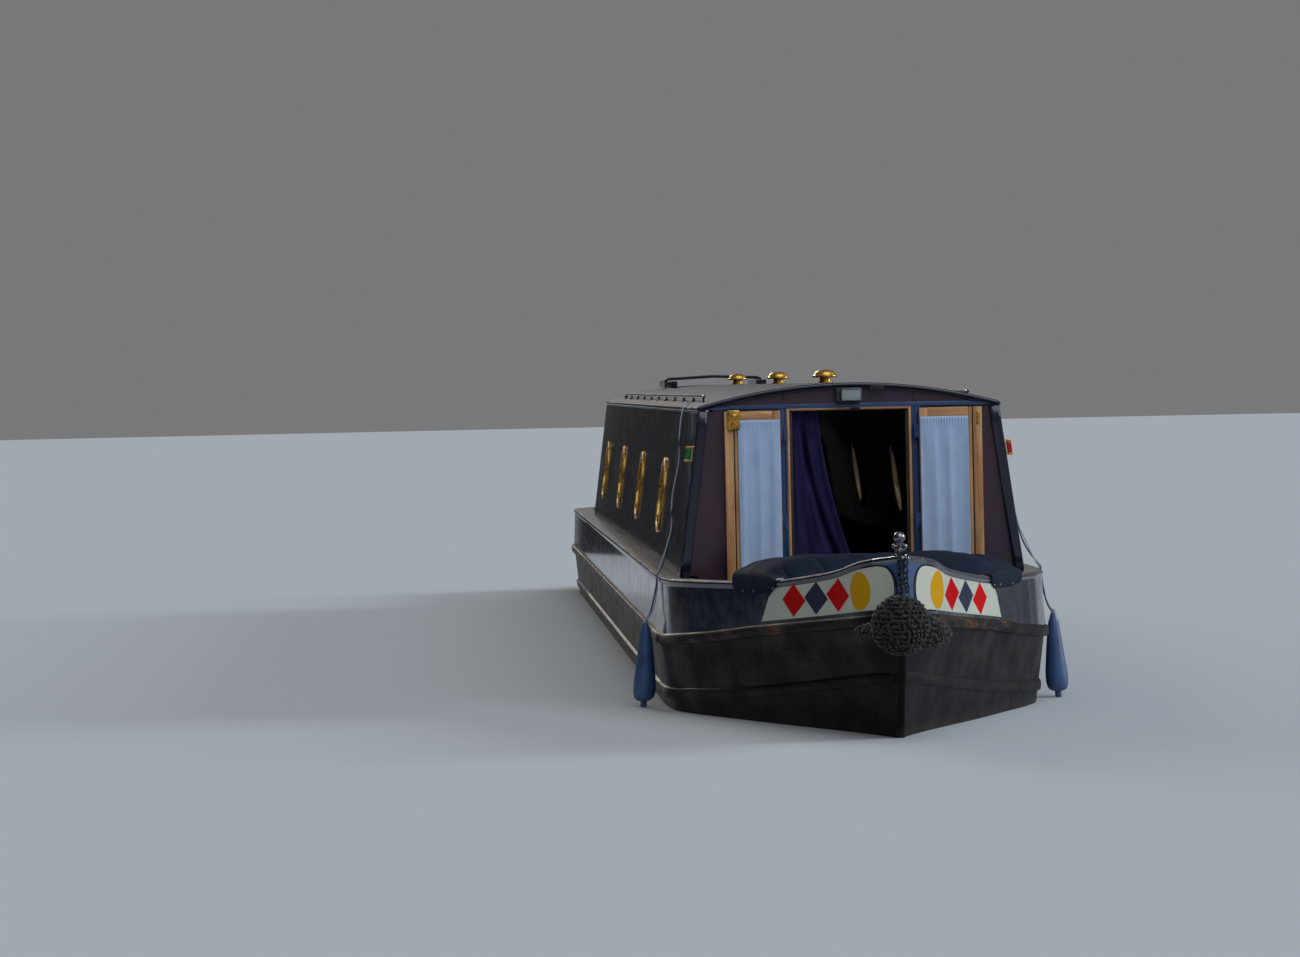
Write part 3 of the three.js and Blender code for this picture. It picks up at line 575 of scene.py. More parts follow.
# A round bar along a line with domed ends. radius is one number or one for each point
def tubeParts(line, radius, around):
    radii = radius if isinstance(radius, list) else [radius] * len(line)
    points, uvs, travelled = [], [], 0.0
    for i, (middle, (side, rise)) in enumerate(zip(line, carriedFrames(line))):
        if i:
            travelled += (line[i] - line[i - 1]).length
        for k in range(around):
            angle = 2 * pi * k / around
            points.append(middle + side * radii[i] * cos(angle) + rise * radii[i] * sin(angle))
            uvs.append((k / around, travelled))
    faces = ringFaces(len(line), around)
    for index, (end, away) in enumerate(((0, line[0] - line[1]), (len(line) - 1, line[-1] - line[-2]))):
        tip = len(points)
        points.append(line[end] + away.normalized() * radii[end] * 0.5)
        uvs.append((0.5, 0 if end == 0 else travelled))
        for k in range(around):
            a, b = end * around + k, end * around + (k + 1) % around
            faces.append((tip, b, a) if index == 0 else (tip, a, b))
    return points, faces, uvs


# The piece rides on its body and stands for its CAD nodes
def settle(piece, body="hull", replaced=()):
    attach(piece, body)
    if replaced:
        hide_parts(*replaced)
    return piece


makeCamera()
print("camera ready")


# Hull. Stations run aft from the stem, with guard and gunwale in one plane across the boat
hull = {"plate": 0.03, "wall": 0.05, "gap": 0.0003, "guardHeight": 0.06, "guardProud": 0.02,
        "edgeHeight": 0.032, "edgeProud": 0.007, "bowRows": 96, "lip": 0.08, "paintedHighlightNose": 0.16,
        "straightY": 13.9, "sternY": 16.5, "length": 17.37, "half": 1.045}
stationKeys = ("y", "guardHalf", "topHalf", "shellHalf", "guardZ", "topZ", "lowerZ", "waterY", "waterHalf",
               "baseY", "baseHalf")
stationRows = [
    (0.060, 0.062, 0.060, 0.024, 1.152, 1.424, 0.860, 0.300, 0.022, 0.760, 0.022),
    (0.250, 0.182, 0.180, 0.162, 1.132, 1.398, 0.842, 0.480, 0.095, 0.900, 0.075),
    (0.540, 0.290, 0.287, 0.282, 1.108, 1.341, 0.812, 0.720, 0.200, 1.090, 0.160),
    (0.970, 0.470, 0.466, 0.468, 1.070, 1.290, 0.766, 1.080, 0.375, 1.380, 0.310),
    (1.330, 0.606, 0.601, 0.606, 1.040, 1.262, 0.730, 1.400, 0.530, 1.650, 0.475),
    (1.810, 0.808, 0.798, 0.808, 0.990, 1.250, 0.690, 1.840, 0.725, 2.020, 0.685),
    (2.200, 0.962, 0.950, 0.962, 0.960, 1.244, 0.668, 2.210, 0.885, 2.330, 0.855),
    (2.540, 1.030, 1.017, 1.030, 0.943, 1.240, 0.651, 2.550, 0.978, 2.620, 0.945),
    (3.200, 1.045, 1.033, 1.045, 0.940, 1.240, 0.645, 3.200, 1.004, 3.200, 0.982),
]
nosePoint = {"y": 0.0, "guardZ": 1.156, "topZ": 1.431}


def spline(rows, t):
    rows = np.asarray(rows, float)
    i = min(max(int(np.floor(t)), 0), len(rows) - 2)
    b, c = rows[i], rows[i + 1]
    a = rows[i - 1] if i > 0 else 2 * b - c
    d = rows[i + 2] if i + 2 < len(rows) else 2 * c - b
    return between(a, b, c, d, t - i)


# One more row a step further aft, so that the sides run straight into the middle of the hull
aftRow = [2 * a - b if "Y" in key or key == "y" else b
          for key, a, b in zip(stationKeys, stationRows[-1], stationRows[-2])]


def stationAt(t):
    return dict(zip(stationKeys, spline(stationRows + [aftRow], t)))


# Plan of guard and gunwale in one sweep round the nose, from the last station to port to the one to starboard
def noseRows():
    def row(station, side):
        s = dict(zip(stationKeys, station))
        return (side * s["guardHalf"], s["y"], s["guardZ"], side * s["topHalf"], s["topZ"])
    rows = [row(s, 1) for s in reversed(stationRows + [aftRow])]
    rows.append((0, nosePoint["y"], nosePoint["guardZ"], 0, nosePoint["topZ"]))
    return rows + [row(s, -1) for s in stationRows + [aftRow]]


planRows = noseRows()
planMiddle = len(stationRows) + 1


# t is 0 at the nose and 9 at the last station, negative to port
def planAt(t):
    index = planMiddle + t
    here = spline(planRows, index)
    ahead, behind = spline(planRows, index + 0.01), spline(planRows, index - 0.01)
    run = Vector((ahead[0] - behind[0], ahead[1] - behind[1], 0)).normalized()
    out = Vector((-run.y, run.x, 0))
    if abs(t) > 0.02 and out.x * here[0] < 0 or abs(t) <= 0.02 and out.y > 0:
        out = -out
    return here, out


# Outside of the topside plate between the guard and the gunwale edge, v from 0 to 1
def topsideAt(t, v):
    here, out = planAt(t)
    guardX, y, guardZ, topX, topZ = here
    z = guardZ + v * (topZ - hull["edgeHeight"] - guardZ)
    x = guardX + (topX - guardX) * v
    return Vector((x, y, z)), out


# The edge round the gunwale is a flattened half-round bar
def topsideRing(t):
    here, out = planAt(t)
    guardX, y, guardZ, topX, topZ = here
    side = 1 if t < 0 else -1
    lip = hull["lip"] + min(1, max(0, abs(t) - 7)) * 0.055 + max(0, abs(t) - 8) * 0.016
    ring = [topsideAt(t, v)[0] for v in (0.0, 0.04, 0.25, 0.5, 0.75, 0.96, 1.0)]
    edgeLow = topZ - hull["edgeHeight"]
    for k in range(7):
        angle = -pi / 2 + pi * k / 6
        reach = hull["edgeProud"] * cos(angle)
        z = (edgeLow + topZ - 0.002) / 2 + (hull["edgeHeight"] - 0.004) / 2 * sin(angle)
        ring.append(Vector((topX, y, z)) + out * (reach + 0.0005))
    ring.append(Vector((topX, y, topZ)) - out * 0.004)
    inner = max(0.0, side * topX - lip) * side
    ring.append(Vector((inner, y, topZ)))
    wallX = max(0.0, side * topX - hull["wall"]) * side
    ring += [Vector((inner, y, topZ - 0.012)), Vector((wallX, y, topZ - 0.012)),
             Vector((wallX, y, topZ - 0.045))]
    ring.append(Vector((max(0.0, side * guardX - hull["wall"]) * side, y, guardZ + hull["gap"])))
    return ring


# The faces in the middle plane go, where two halves meet
def dropInside(piece):
    with edited(piece.data) as work:
        bmesh.ops.remove_doubles(work, verts=work.verts, dist=1e-5)
        inside = [f for f in work.faces if all(abs(v.co.x) < 1e-5 for v in f.verts)]
        bmesh.ops.delete(work, geom=inside, context="FACES")
        bmesh.ops.recalc_face_normals(work, faces=work.faces)
    return piece


# Places along the plan from the port end round the nose to the starboard end
def planSteps():
    spread = [9 * k / hull["bowRows"] for k in range(1, hull["bowRows"] + 1)]
    return [-t for t in reversed(spread)] + [0.0] + spread


def makeTopsides():
    shape = Shape()
    shape.loft([[place(*p) for p in topsideRing(t)] for t in planSteps()])
    bow = dropInside(shape.piece("bowTopsides", "navy navyTrim chrome deck"))
    bow.data.set_sharp_from_angle(angle=radians(50))
    # Lighter blue down the nose, a painted highlight for the light on the rounded nose, and paint worn off
    # the gunwale where the ropes cross it
    for face in bow.data.polygons:
        y = face.center.y - stemY
        edgeZ = float(np.interp(y, [0, 0.06, 0.25], [1.431, 1.424, 1.398])) - hull["edgeHeight"] - 0.001
        if y < hull["paintedHighlightNose"]:
            face.material_index = 2 if face.center.z > edgeZ else 1
        elif y < (1.4 if face.center.x > 0 else 2.3) and face.normal.z > 0.3:
            face.material_index = 3
    settle(bow, "hull", ["topside_bow_port", "topside_bow_starboard"])


# Rounded steel bar for the guards, its back let into the plate
def guardProfile(height, proud, back):
    points = [(-back, 0)]
    for k in range(13):
        angle = pi * (k / 12 - 0.5)
        points.append((proud * cos(angle) ** 0.55, height / 2 * (1 + sin(angle))))
    return points + [(-back, height)]


def makeUpperGuard():
    profile = guardProfile(hull["guardHeight"], hull["guardProud"], 0.0)
    rings = []
    for t in planSteps():
        here, out = planAt(t)
        middle = place(here[0], here[1], here[2] - hull["guardHeight"])
        ring = [middle + out * d + Vector((0, 0, z)) for d, z in profile]
        # The back runs inside the plate, and stops at the middle plane
        back = min(0.045, abs(middle.x)) * (1 if middle.x > 0 else -1)
        for index in (0, -1):
            ring[index] = Vector((middle.x - back, middle.y, ring[index].z))
        rings.append(ring)
    shape = Shape()
    shape.loft(rings)
    settle(dropInside(shape.piece("upperBowGuard", "guard", angle=60)), "hull")


# Outside of the bow shell at one station and height, as half width and y
def shellAt(s, z):
    if z <= waterZ:
        f = (z - hull["plate"]) / (waterZ - hull["plate"])
        return (s["baseHalf"] + (s["waterHalf"] - s["baseHalf"]) * f,
                s["baseY"] + (s["waterY"] - s["baseY"]) * f)
    f = (z - waterZ) / (s["guardZ"] - waterZ)
    return (s["waterHalf"] + (s["shellHalf"] - s["waterHalf"]) * f, s["waterY"] + (s["y"] - s["waterY"]) * f)


def makeBowShells():
    count, proud = hull["bowRows"], 0.016
    low = hull["plate"] + hull["gap"]
    for name, side in sides.items():
        plate, guard = [], []
        for k in range(count + 1):
            t = 8 * k / count
            s = stationAt(t)
            high = s["guardZ"] - 0.004
            zs = [low, 0.2, 0.38, waterZ, 0.6, 0.7, 0.8, 0.9, 0.97, high]
            outer = [(shellAt(s, z), z) for z in (min(z, high - 0.001 * (9 - i)) for i, z in enumerate(zs))]
            ring = [place(side * x, y, z) for (x, y), z in outer]
            for (x, y), z in (outer[-1], outer[3], outer[0]):
                ring.append(place(side * max(0.003, x - hull["wall"]), y, z))
            plate.append(ring)
            # The lower guard comes out of the plate over the first stations
            z = s["lowerZ"] - hull["guardHeight"]
            x, y = shellAt(s, z + 0.03)
            nextX, nextY = shellAt(stationAt(min(8.5, t + 0.05)), z + 0.03)
            run = Vector((nextX - x, nextY - y, 0)).normalized()
            middle, out = place(side * x, y, z), Vector((side * run.y, -run.x, 0))
            profile = guardProfile(hull["guardHeight"], proud * min(1, 0.35 + 6 * k / count), 0.02)
            guard.append([middle + out * d + Vector((0, 0, up)) for d, up in profile])
        shape = Shape()
        shape.loft(plate)
        shape.loft(guard)
        shape.finish(f"bowShell.{name}", "blacking", "hull", "blacking", [f"bow_shell_{name}"], merge=1e-6,
                     angle=30)


def makeStem():
    first = dict(zip(stationKeys, stationRows[0]))
    depth, half, edge = 0.045, 0.022, 0.012
    rows = [(first["baseY"], 0.0), (first["baseY"], 0.03), (first["waterY"], waterZ),
            (first["waterY"] + (first["y"] - first["waterY"]) * 0.5,
             waterZ + (first["guardZ"] - waterZ) * 0.5),
            (first["y"] + 0.012, first["guardZ"] - 0.05)]
    rings = []
    for y, z in rows:
        ring = [place(half, y, z)]
        for k in range(7):
            angle = pi * k / 6
            ring.append(place(half * cos(angle), y - depth + edge - edge * sin(angle), z))
        ring.append(place(-half, y, z))
        rings.append(ring)
    shape = Shape()
    shape.loft(rings)
    shape.finish("stemBar", "blacking", "hull", "blacking", ["stem"], merge=1e-6)


# Plan of the stern in short steps, each a place and the direction outwards there
def sternLine(steps=64):
    half, rise = hull["half"], hull["length"] - hull["sternY"]
    line = [(Vector((half, hull["straightY"], 0)), Vector((1, 0, 0)))]
    for k in range(steps + 1):
        angle = pi * k / steps
        out = Vector((cos(angle) / half, sin(angle) / rise, 0)).normalized()
        line.append((Vector((half * cos(angle), hull["sternY"] + rise * sin(angle), 0)), out))
    return line + [(Vector((-half, hull["straightY"], 0)), Vector((-1, 0, 0)))]


# A profile of (outwards, up) run round the stern
def sternBand(profile):
    return [[place(middle.x + out.x * d, middle.y + out.y * d, z) for d, z in profile]
            for middle, out in sternLine()]


def makeCounter():
    guardZ, lowerZ, topZ, uxterZ = 0.94, 0.645, 1.24, 0.515
    flare = 1.045 - 1.004

    def lean(z):
        return -flare * (guardZ - z) / (guardZ - waterZ)
    low, high = lowerZ - hull["guardHeight"], guardZ - hull["guardHeight"]
    base, foot, knee = lean(uxterZ), lean(low), lean(lowerZ)
    shape = Shape()
    shape.loft(sternBand([
        (base, uxterZ + 0.0003), (foot, low), (foot + 0.014, low + 0.003), (foot + 0.016, low + 0.01),
        (knee + 0.016, lowerZ - 0.01), (knee + 0.014, lowerZ - 0.003), (knee, lowerZ), (lean(high), high),
        (0.014, high), (0.019, high + 0.005), (0.02, high + 0.012), (0.02, guardZ - 0.012),
        (0.019, guardZ - 0.005), (0.014, guardZ), (-hull["wall"], guardZ),
        (base - hull["wall"], uxterZ + 0.0003)]))
    shape.finish("counterShell", "blacking", "hull", "blacking", ["counter_shell"], merge=1e-6, angle=35)
    edge = [(-0.012 + 0.0075 * cos(a), topZ - 0.017 + 0.015 * sin(a))
            for a in (-pi / 2 + pi * k / 6 for k in range(7))]
    shape = Shape()
    shape.loft(sternBand([
        (0, guardZ + 0.0003), (-0.0006, guardZ + 0.013), (-0.0114, topZ - 0.045), (-0.012, topZ - 0.032),
        *edge, (-0.016, topZ), (-0.163, topZ), (-0.163, topZ - 0.045), (-0.060, topZ - 0.045),
        (-0.048, guardZ + 0.0003)]))
    shape.finish("counterTopside", "navy", "hull", "navy_paint", ["counter_topside"], merge=1e-6, angle=50)


makeTopsides()
makeUpperGuard()
makeBowShells()
makeStem()
makeCounter()
print("hull ready")


# Painted panels on the bow, laid out by distance round the gunwale and height
planTable = np.linspace(0, 9, 721)
planPlaces = [planAt(t)[0] for t in planTable]
planRun = np.concatenate([[0], np.cumsum([hypot(b[0] - a[0], b[1] - a[1])
                                          for a, b in zip(planPlaces, planPlaces[1:])])])


# Place on the plan so far along the gunwale from the nose
def planPlace(side, along):
    return float(np.interp(along, planRun, planTable)) * -side


# Heights between which the topside plate shows
def topsideSpan(t):
    here = planAt(t)[0]
    return here[2], here[4] - hull["edgeHeight"]


def onTopside(side, along, z, lift):
    t = planPlace(side, along)
    low, high = topsideSpan(t)
    middle, out = topsideAt(t, (z - low) / (high - low))
    return place(*(middle + out * lift))


def topsideHeight(side, along, v):
    low, high = topsideSpan(planPlace(side, along))
    return low + v * (high - low)


# A thin coat of paint inside an outline, cut into small faces and laid on the plate
def addPatch(shape, side, outline, lift, mark, cell=0.035):
    work = bmesh.new()
    work.faces.new([work.verts.new((a, z, 0)) for a, z in outline])
    for axis in (0, 1):
        across = (1 - axis, axis, 0)
        values = [point[axis] for point in outline]
        low, high = min(values), max(values)
        count = int((high - low) / cell)
        for k in range(1, count + 1):
            cutAt = low + (high - low) * k / (count + 1)
            bmesh.ops.bisect_plane(work, geom=work.verts[:] + work.edges[:] + work.faces[:],
                                   plane_co=[cutAt * step for step in across], plane_no=across)
    flat, faces = partsOf(work)
    rim = [[v.index for v in e.verts] for e in work.edges if len(e.link_faces) == 1]
    work.free()
    count = len(flat)
    points = [onTopside(side, p.x, p.y, depth) for depth in (lift, -0.0006) for p in flat]
    under = [[i + count for i in f][::-1] for f in faces]
    walls = [(a, b, b + count, a + count) for a, b in rim]
    shape.add(points, faces + under + walls, mark)


def diamond(along, z, half, tall):
    return [(along - half, z), (along, z - tall), (along + half, z), (along, z + tall)]


def ellipse(along, z, half, tall, steps=40):
    return [(along + half * cos(2 * pi * k / steps), z + tall * sin(2 * pi * k / steps))
            for k in range(steps)]


panels = {
    "starboard": {"aftLow": 1.432, "notch": (1.345, 1.188), "aftHigh": 1.262, "nose": 0.052,
                  "noseTop": 0.18, "noseLow": 0.20,
                  "figures": [("ellipse", 0.326, 1.250, 0.098, 0.094, 3),
                              ("diamond", 0.568, 1.223, 0.131, 0.084, 1),
                              ("diamond", 0.807, 1.200, 0.125, 0.082, 2),
                              ("diamond", 1.050, 1.181, 0.130, 0.084, 1)]},
    "port": {"aftLow": 1.612, "notch": (1.545, 1.165), "aftHigh": 1.478, "nose": 0.104,
             "noseTop": 0.21, "noseLow": 0.25,
             "figures": [("ellipse", 0.372, 1.247, 0.116, 0.094, 3),
                         ("diamond", 0.654, 1.213, 0.136, 0.084, 1),
                         ("diamond", 0.909, 1.187, 0.134, 0.082, 2),
                         ("diamond", 1.182, 1.162, 0.150, 0.083, 1)]},
}


def makePanels():
    for name, panel in panels.items():
        side = sides[name]

        def rim(start, end, v):
            alongs = [start + (end - start) * k / 30 for k in range(31)]
            return [(along, topsideHeight(side, along, v)) for along in alongs]
        outline = rim(panel["noseLow"], panel["aftLow"], 0.085) + [panel["notch"]]
        outline += rim(panel["aftHigh"], panel["noseTop"], 0.965)
        # The forward end is one rounded curve down the nose
        topZ, lowZ = outline[-1][1], outline[0][1]
        for k in range(1, 24):
            angle = pi * k / 24
            reach = abs(sin(angle)) ** 0.62
            start = panel["noseTop"] + (panel["noseLow"] - panel["noseTop"]) * k / 24
            outline.append((start + (panel["nose"] - start) * reach,
                            topZ + (lowZ - topZ) * (1 - cos(angle)) / 2))
        shape = Shape()
        border = []
        for k, (along, z) in enumerate(outline):
            before, after = outline[k - 1], outline[(k + 1) % len(outline)]
            run = Vector((after[0] - before[0], after[1] - before[1])).normalized()
            reach, rise = (0.024, 0.008) if along < 0.3 else (0.004, 0.0024)
            border.append((along + run.y * reach, z - run.x * rise))
        addPatch(shape, side, border[::-1], 0.0005, 4)
        addPatch(shape, side, outline[::-1], 0.0010, 0)
        for kind, along, z, half, tall, mark in panel["figures"]:
            figure = (diamond if kind == "diamond" else ellipse)(along, z, half, tall)
            # The tips of the middle diamond lie over those beside it
            addPatch(shape, side, figure, 0.0020 if mark == 2 else 0.0016, mark, 0.025)
        shape.finish(f"bowPanel.{name}", "cream red slate yellow border", merge=1e-7, angle=25)


makePanels()
print("panels ready")


# Edges of a plain CAD node rounded on a copy of it
def softened(name, width, finish, pieceName, segments=2):
    mesh = nodes[name].data.copy()
    mesh.materials.clear()
    mesh.materials.append(finishes[finish])
    mesh.name = pieceName
    piece = linked(pieceName, mesh)
    with edited(mesh) as work:
        bmesh.ops.remove_doubles(work, verts=work.verts, dist=1e-5)
        bmesh.ops.dissolve_limit(work, angle_limit=radians(0.6), verts=work.verts, edges=work.edges)
        for face in work.faces:
            face.smooth = True
            face.material_index = 0
        for edge in work.edges:
            edge.smooth = True
    for attribute in ("custom_normal", "sharp_face", "sharp_edge"):
        if attribute in mesh.attributes:
            mesh.attributes.remove(mesh.attributes[attribute])
    if width:
        bevelled(piece, width, segments)
    piece.data.set_sharp_from_angle(angle=radians(40))
    # The wide flat faces keep their own normals, so that gloss doesn't bend round the openings
    weighted = piece.modifiers.new("flats", "WEIGHTED_NORMAL")
    weighted.keep_sharp = True
    weighted.weight = 100
    return settle(applyModifiers(piece), nodes[name]["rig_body"], [name])


# Cabin
cabin = {"eavesZ": 2.154, "crownZ": 2.267, "topHalf": 0.8095, "baseHalf": 0.9325, "sideDeckZ": 1.24,
         "overhang": 0.02, "thickness": 0.03, "edge": 0.011, "arcSteps": 40}
hatchway = {"from": 14.0, "to": 14.74, "half": 0.32}


def roofHeight(x):
    return cabin["crownZ"] - (cabin["crownZ"] - cabin["eavesZ"]) * (x / cabin["topHalf"]) ** 2


def cabinHalf(z):
    f = (z - cabin["sideDeckZ"]) / (cabin["eavesZ"] - cabin["sideDeckZ"])
    return cabin["baseHalf"] + (cabin["topHalf"] - cabin["baseHalf"]) * f


# One slab of the roof between two places along the boat, its outer ends rounded where they show
def addRoofSlab(shape, fromY, toY, halfs, roundEnds):
    low, high = halfs
    xs = [low + (high - low) * k / cabin["arcSteps"] for k in range(cabin["arcSteps"] + 1)]

    def ring(y, shrink):
        top = [place(x, y, roofHeight(x) - shrink) for x in xs]
        return top + [place(x, y, roofHeight(x) - cabin["thickness"] + shrink) for x in reversed(xs)]
    cuts = [cabin["edge"] * (1 - sin(pi / 2 * k / 4)) for k in range(5)]
    rings = [ring(fromY + cut, cut * 0.9) for cut in cuts] if roundEnds[0] else [ring(fromY, 0)]
    rings += [ring(toY - cut, cut * 0.9) for cut in reversed(cuts)] if roundEnds[1] else [ring(toY, 0)]
    shape.loft(rings)


def makeRoof():
    shape = Shape()
    half = cabin["topHalf"]
    front, back = frontY - cabin["overhang"], cabinEndY + cabin["overhang"]
    fromY, toY, opening = hatchway["from"], hatchway["to"], hatchway["half"]
    addRoofSlab(shape, front, fromY, (-half, half), (True, False))
    addRoofSlab(shape, fromY, toY, (-half, -opening), (False, False))
    addRoofSlab(shape, fromY, toY, (opening, half), (False, False))
    addRoofSlab(shape, toY, back, (-half, half), (False, True))
    # A half-round bead runs under the eaves down both sides
    for side in (1, -1):
        line = [place(side * (half - 0.002), front + 0.006 + (back - front - 0.012) * k / 24,
                      cabin["eavesZ"] - 0.015) for k in range(25)]
        shape.tube(line, 0.0145, 14, mark=1)
    for x in (0.345, -0.345):
        shape.box(place(x - 0.015, 13.15, 2.235), place(x + 0.015, 14.78, 2.3), 0.003, 1)
    shape.finish("roofPanel", "roof navy", "hull", "roof_paint", ["roof"], merge=1e-6)
    # Front edge: a dark bead bent over the arc of the roof
    xs = [-half + 0.004 + (2 * half - 0.008) * k / 60 for k in range(61)]
    bead = [place(x, front + 0.007, roofHeight(x) - 0.0115) for x in xs]
    shape = Shape()
    shape.tube(bead, 0.0118, 14)
    shape.finish("roofEdge", "navy", "hull", "navy_paint", merge=None)


handRail = {"x": 0.734, "from": 3.32, "to": 13.0, "rise": 0.044, "radius": 0.0105, "postEvery": 0.92}


# Handrails on short posts
def makeHandRails():
    x, fromY, toY, rise, radius, postEvery = handRail.values()
    base, level = roofHeight(x), roofHeight(x) + rise - 0.012
    first, last = fromY + 0.05, toY - 0.05
    count = int((toY - fromY) / postEvery)
    post = [(0, -0.006), (0.017, -0.006), (0.017, 0.003), (0.008, 0.007), (0.007, rise - 0.012),
            (0, rise - 0.012)]
    shape = Shape()
    for side in (1, -1):

        def part(points, steps):
            return smoothLine([place(side * x, y, z) for y, z in points], steps)
        line = part([(fromY - 0.01, base - 0.004), (fromY + 0.004, base + 0.026), (first, level)], 8)[:-1]
        line += part([(first + (last - first) * k / 12, level) for k in range(13)], 24)
        line += part([(last, level), (toY - 0.004, base + 0.026), (toY + 0.01, base - 0.004)], 8)[1:]
        shape.tube(line, radius, 12)
        for k in range(1, count):
            shape.turn(post, place(side * x, fromY + (toY - fromY) * k / count, base), steps=14)
    shape.finish("handRails", "navy", "hull", "navy_paint", merge=1e-6)


doorway = {"half": 0.306, "step": 0.322, "outer": 0.337, "sill": 0.8303, "head": 2.116, "top": 2.136}


# The frame has a pale front strip, and inside it a rebate whose dark finish is painted shade
def makeDoorway():
    half, step, outer, sill, head, top = doorway.values()
    back = frontY + 0.045
    shape = Shape()
    for side in (1, -1):
        shape.sideBox(side, (step, outer), (frontY - 0.008, back), (sill, top), 0.0025)
        shape.sideBox(side, (half, step + 0.001), (frontY + 0.008, back - 0.001), (sill, head + 0.002),
                      0.0015, 2)
    shape.sideBox(1, (-step, step), (frontY - 0.0075, back - 0.001), (head + 0.006, top), 0.0025, 1)
    shape.sideBox(1, (-step, step), (frontY + 0.008, back - 0.002), (head, head + 0.008), 0.0015, 2)
    catch = (0.008, 0.060), (frontY - 0.0095, frontY - 0.007), (head + 0.004, top - 0.004)
    shape.sideBox(1, *catch, 0.001, 3)
    shape.finish("doorwayFrame", "woodUp woodAcross lining darkSteel", "hull", "varnished_wood",
                 ["doorway_frame"], angle=30)


def makeBulkheads():
    softened("front_bulkhead", 0.003, "maroon", "frontPanel")
    softened("rear_bulkhead", 0.003, "maroon", "rearPanel")
    makeDoorway()
    for name in ("port", "starboard"):
        wall = softened(f"cabin_side_{name}", 0.004, "navy", f"cabinWall.{name}")
        # The inner faces take the dark finish, painted shade for the unlit inside of the cabin
        wall.data.materials.append(finishes["lining"])
        for face in wall.data.polygons:
            if face.normal.x * face.center.x < 0:
                face.material_index = 1
    # Navy strips stand beside the doorway and under the fascia
    shape = Shape()
    for side in (1, -1):
        for x0, x1, depth in ((0.3385, 0.3470, 0.012), (0.347, 0.376, 0.006), (0.376, 0.385, 0.012)):
            shape.sideBox(side, (x0, x1), (frontY - depth, frontY + 0.004), (0.7, 2.134), 0.0025)
    shape.box(place(-0.790, frontY - 0.011, 2.1335), place(0.790, frontY + 0.004, 2.1560), 0.003)
    near, far = frontY - 0.004, frontY + 0.004
    for x in (-0.352, 0.352):
        shape.box(place(x - 0.004, near, 2.150), place(x + 0.004, far, 2.220), 0.0015, 1)
    shape.finish("frontStrips", "navyTrim navy", "hull", "navy_paint", angle=30)
    # Coving where the cabin side meets the front
    shape = Shape()
    for side in (1, -1):
        line = [place(side * (cabinHalf(z) - 0.0265), frontY - 0.019, z)
                for z in np.linspace(1.245, 2.12, 12)]
        points, faces, uvs = tubeParts(line, 0.0265, 14)
        flat = [Vector((p.x, max(p.y, place(0, frontY - 0.019, 0).y - 0.011), p.z)) for p in points]
        shape.add(flat, faces, 0, uvs)
    shape.finish("cornerBeads", "navy", "hull", "navy_paint", merge=None, angle=60)


makeRoof()
makeHandRails()
makeBulkheads()
print("cabin ready")


hingePin = [(0, 0), (0.007, 0), (0.0085, 0.002), (0.0085, 0.078), (0.007, 0.08), (0, 0.08)]

# Front doors stand open with their varnished inner faces forward
frontDoor = {"pinX": 0.3525, "pinY": 2.556, "from": 0.375, "to": {"port": 0.713, "starboard": 0.677},
             "half": 0.0175, "bottom": 0.845, "top": 2.124, "windowFrom": 1.24}


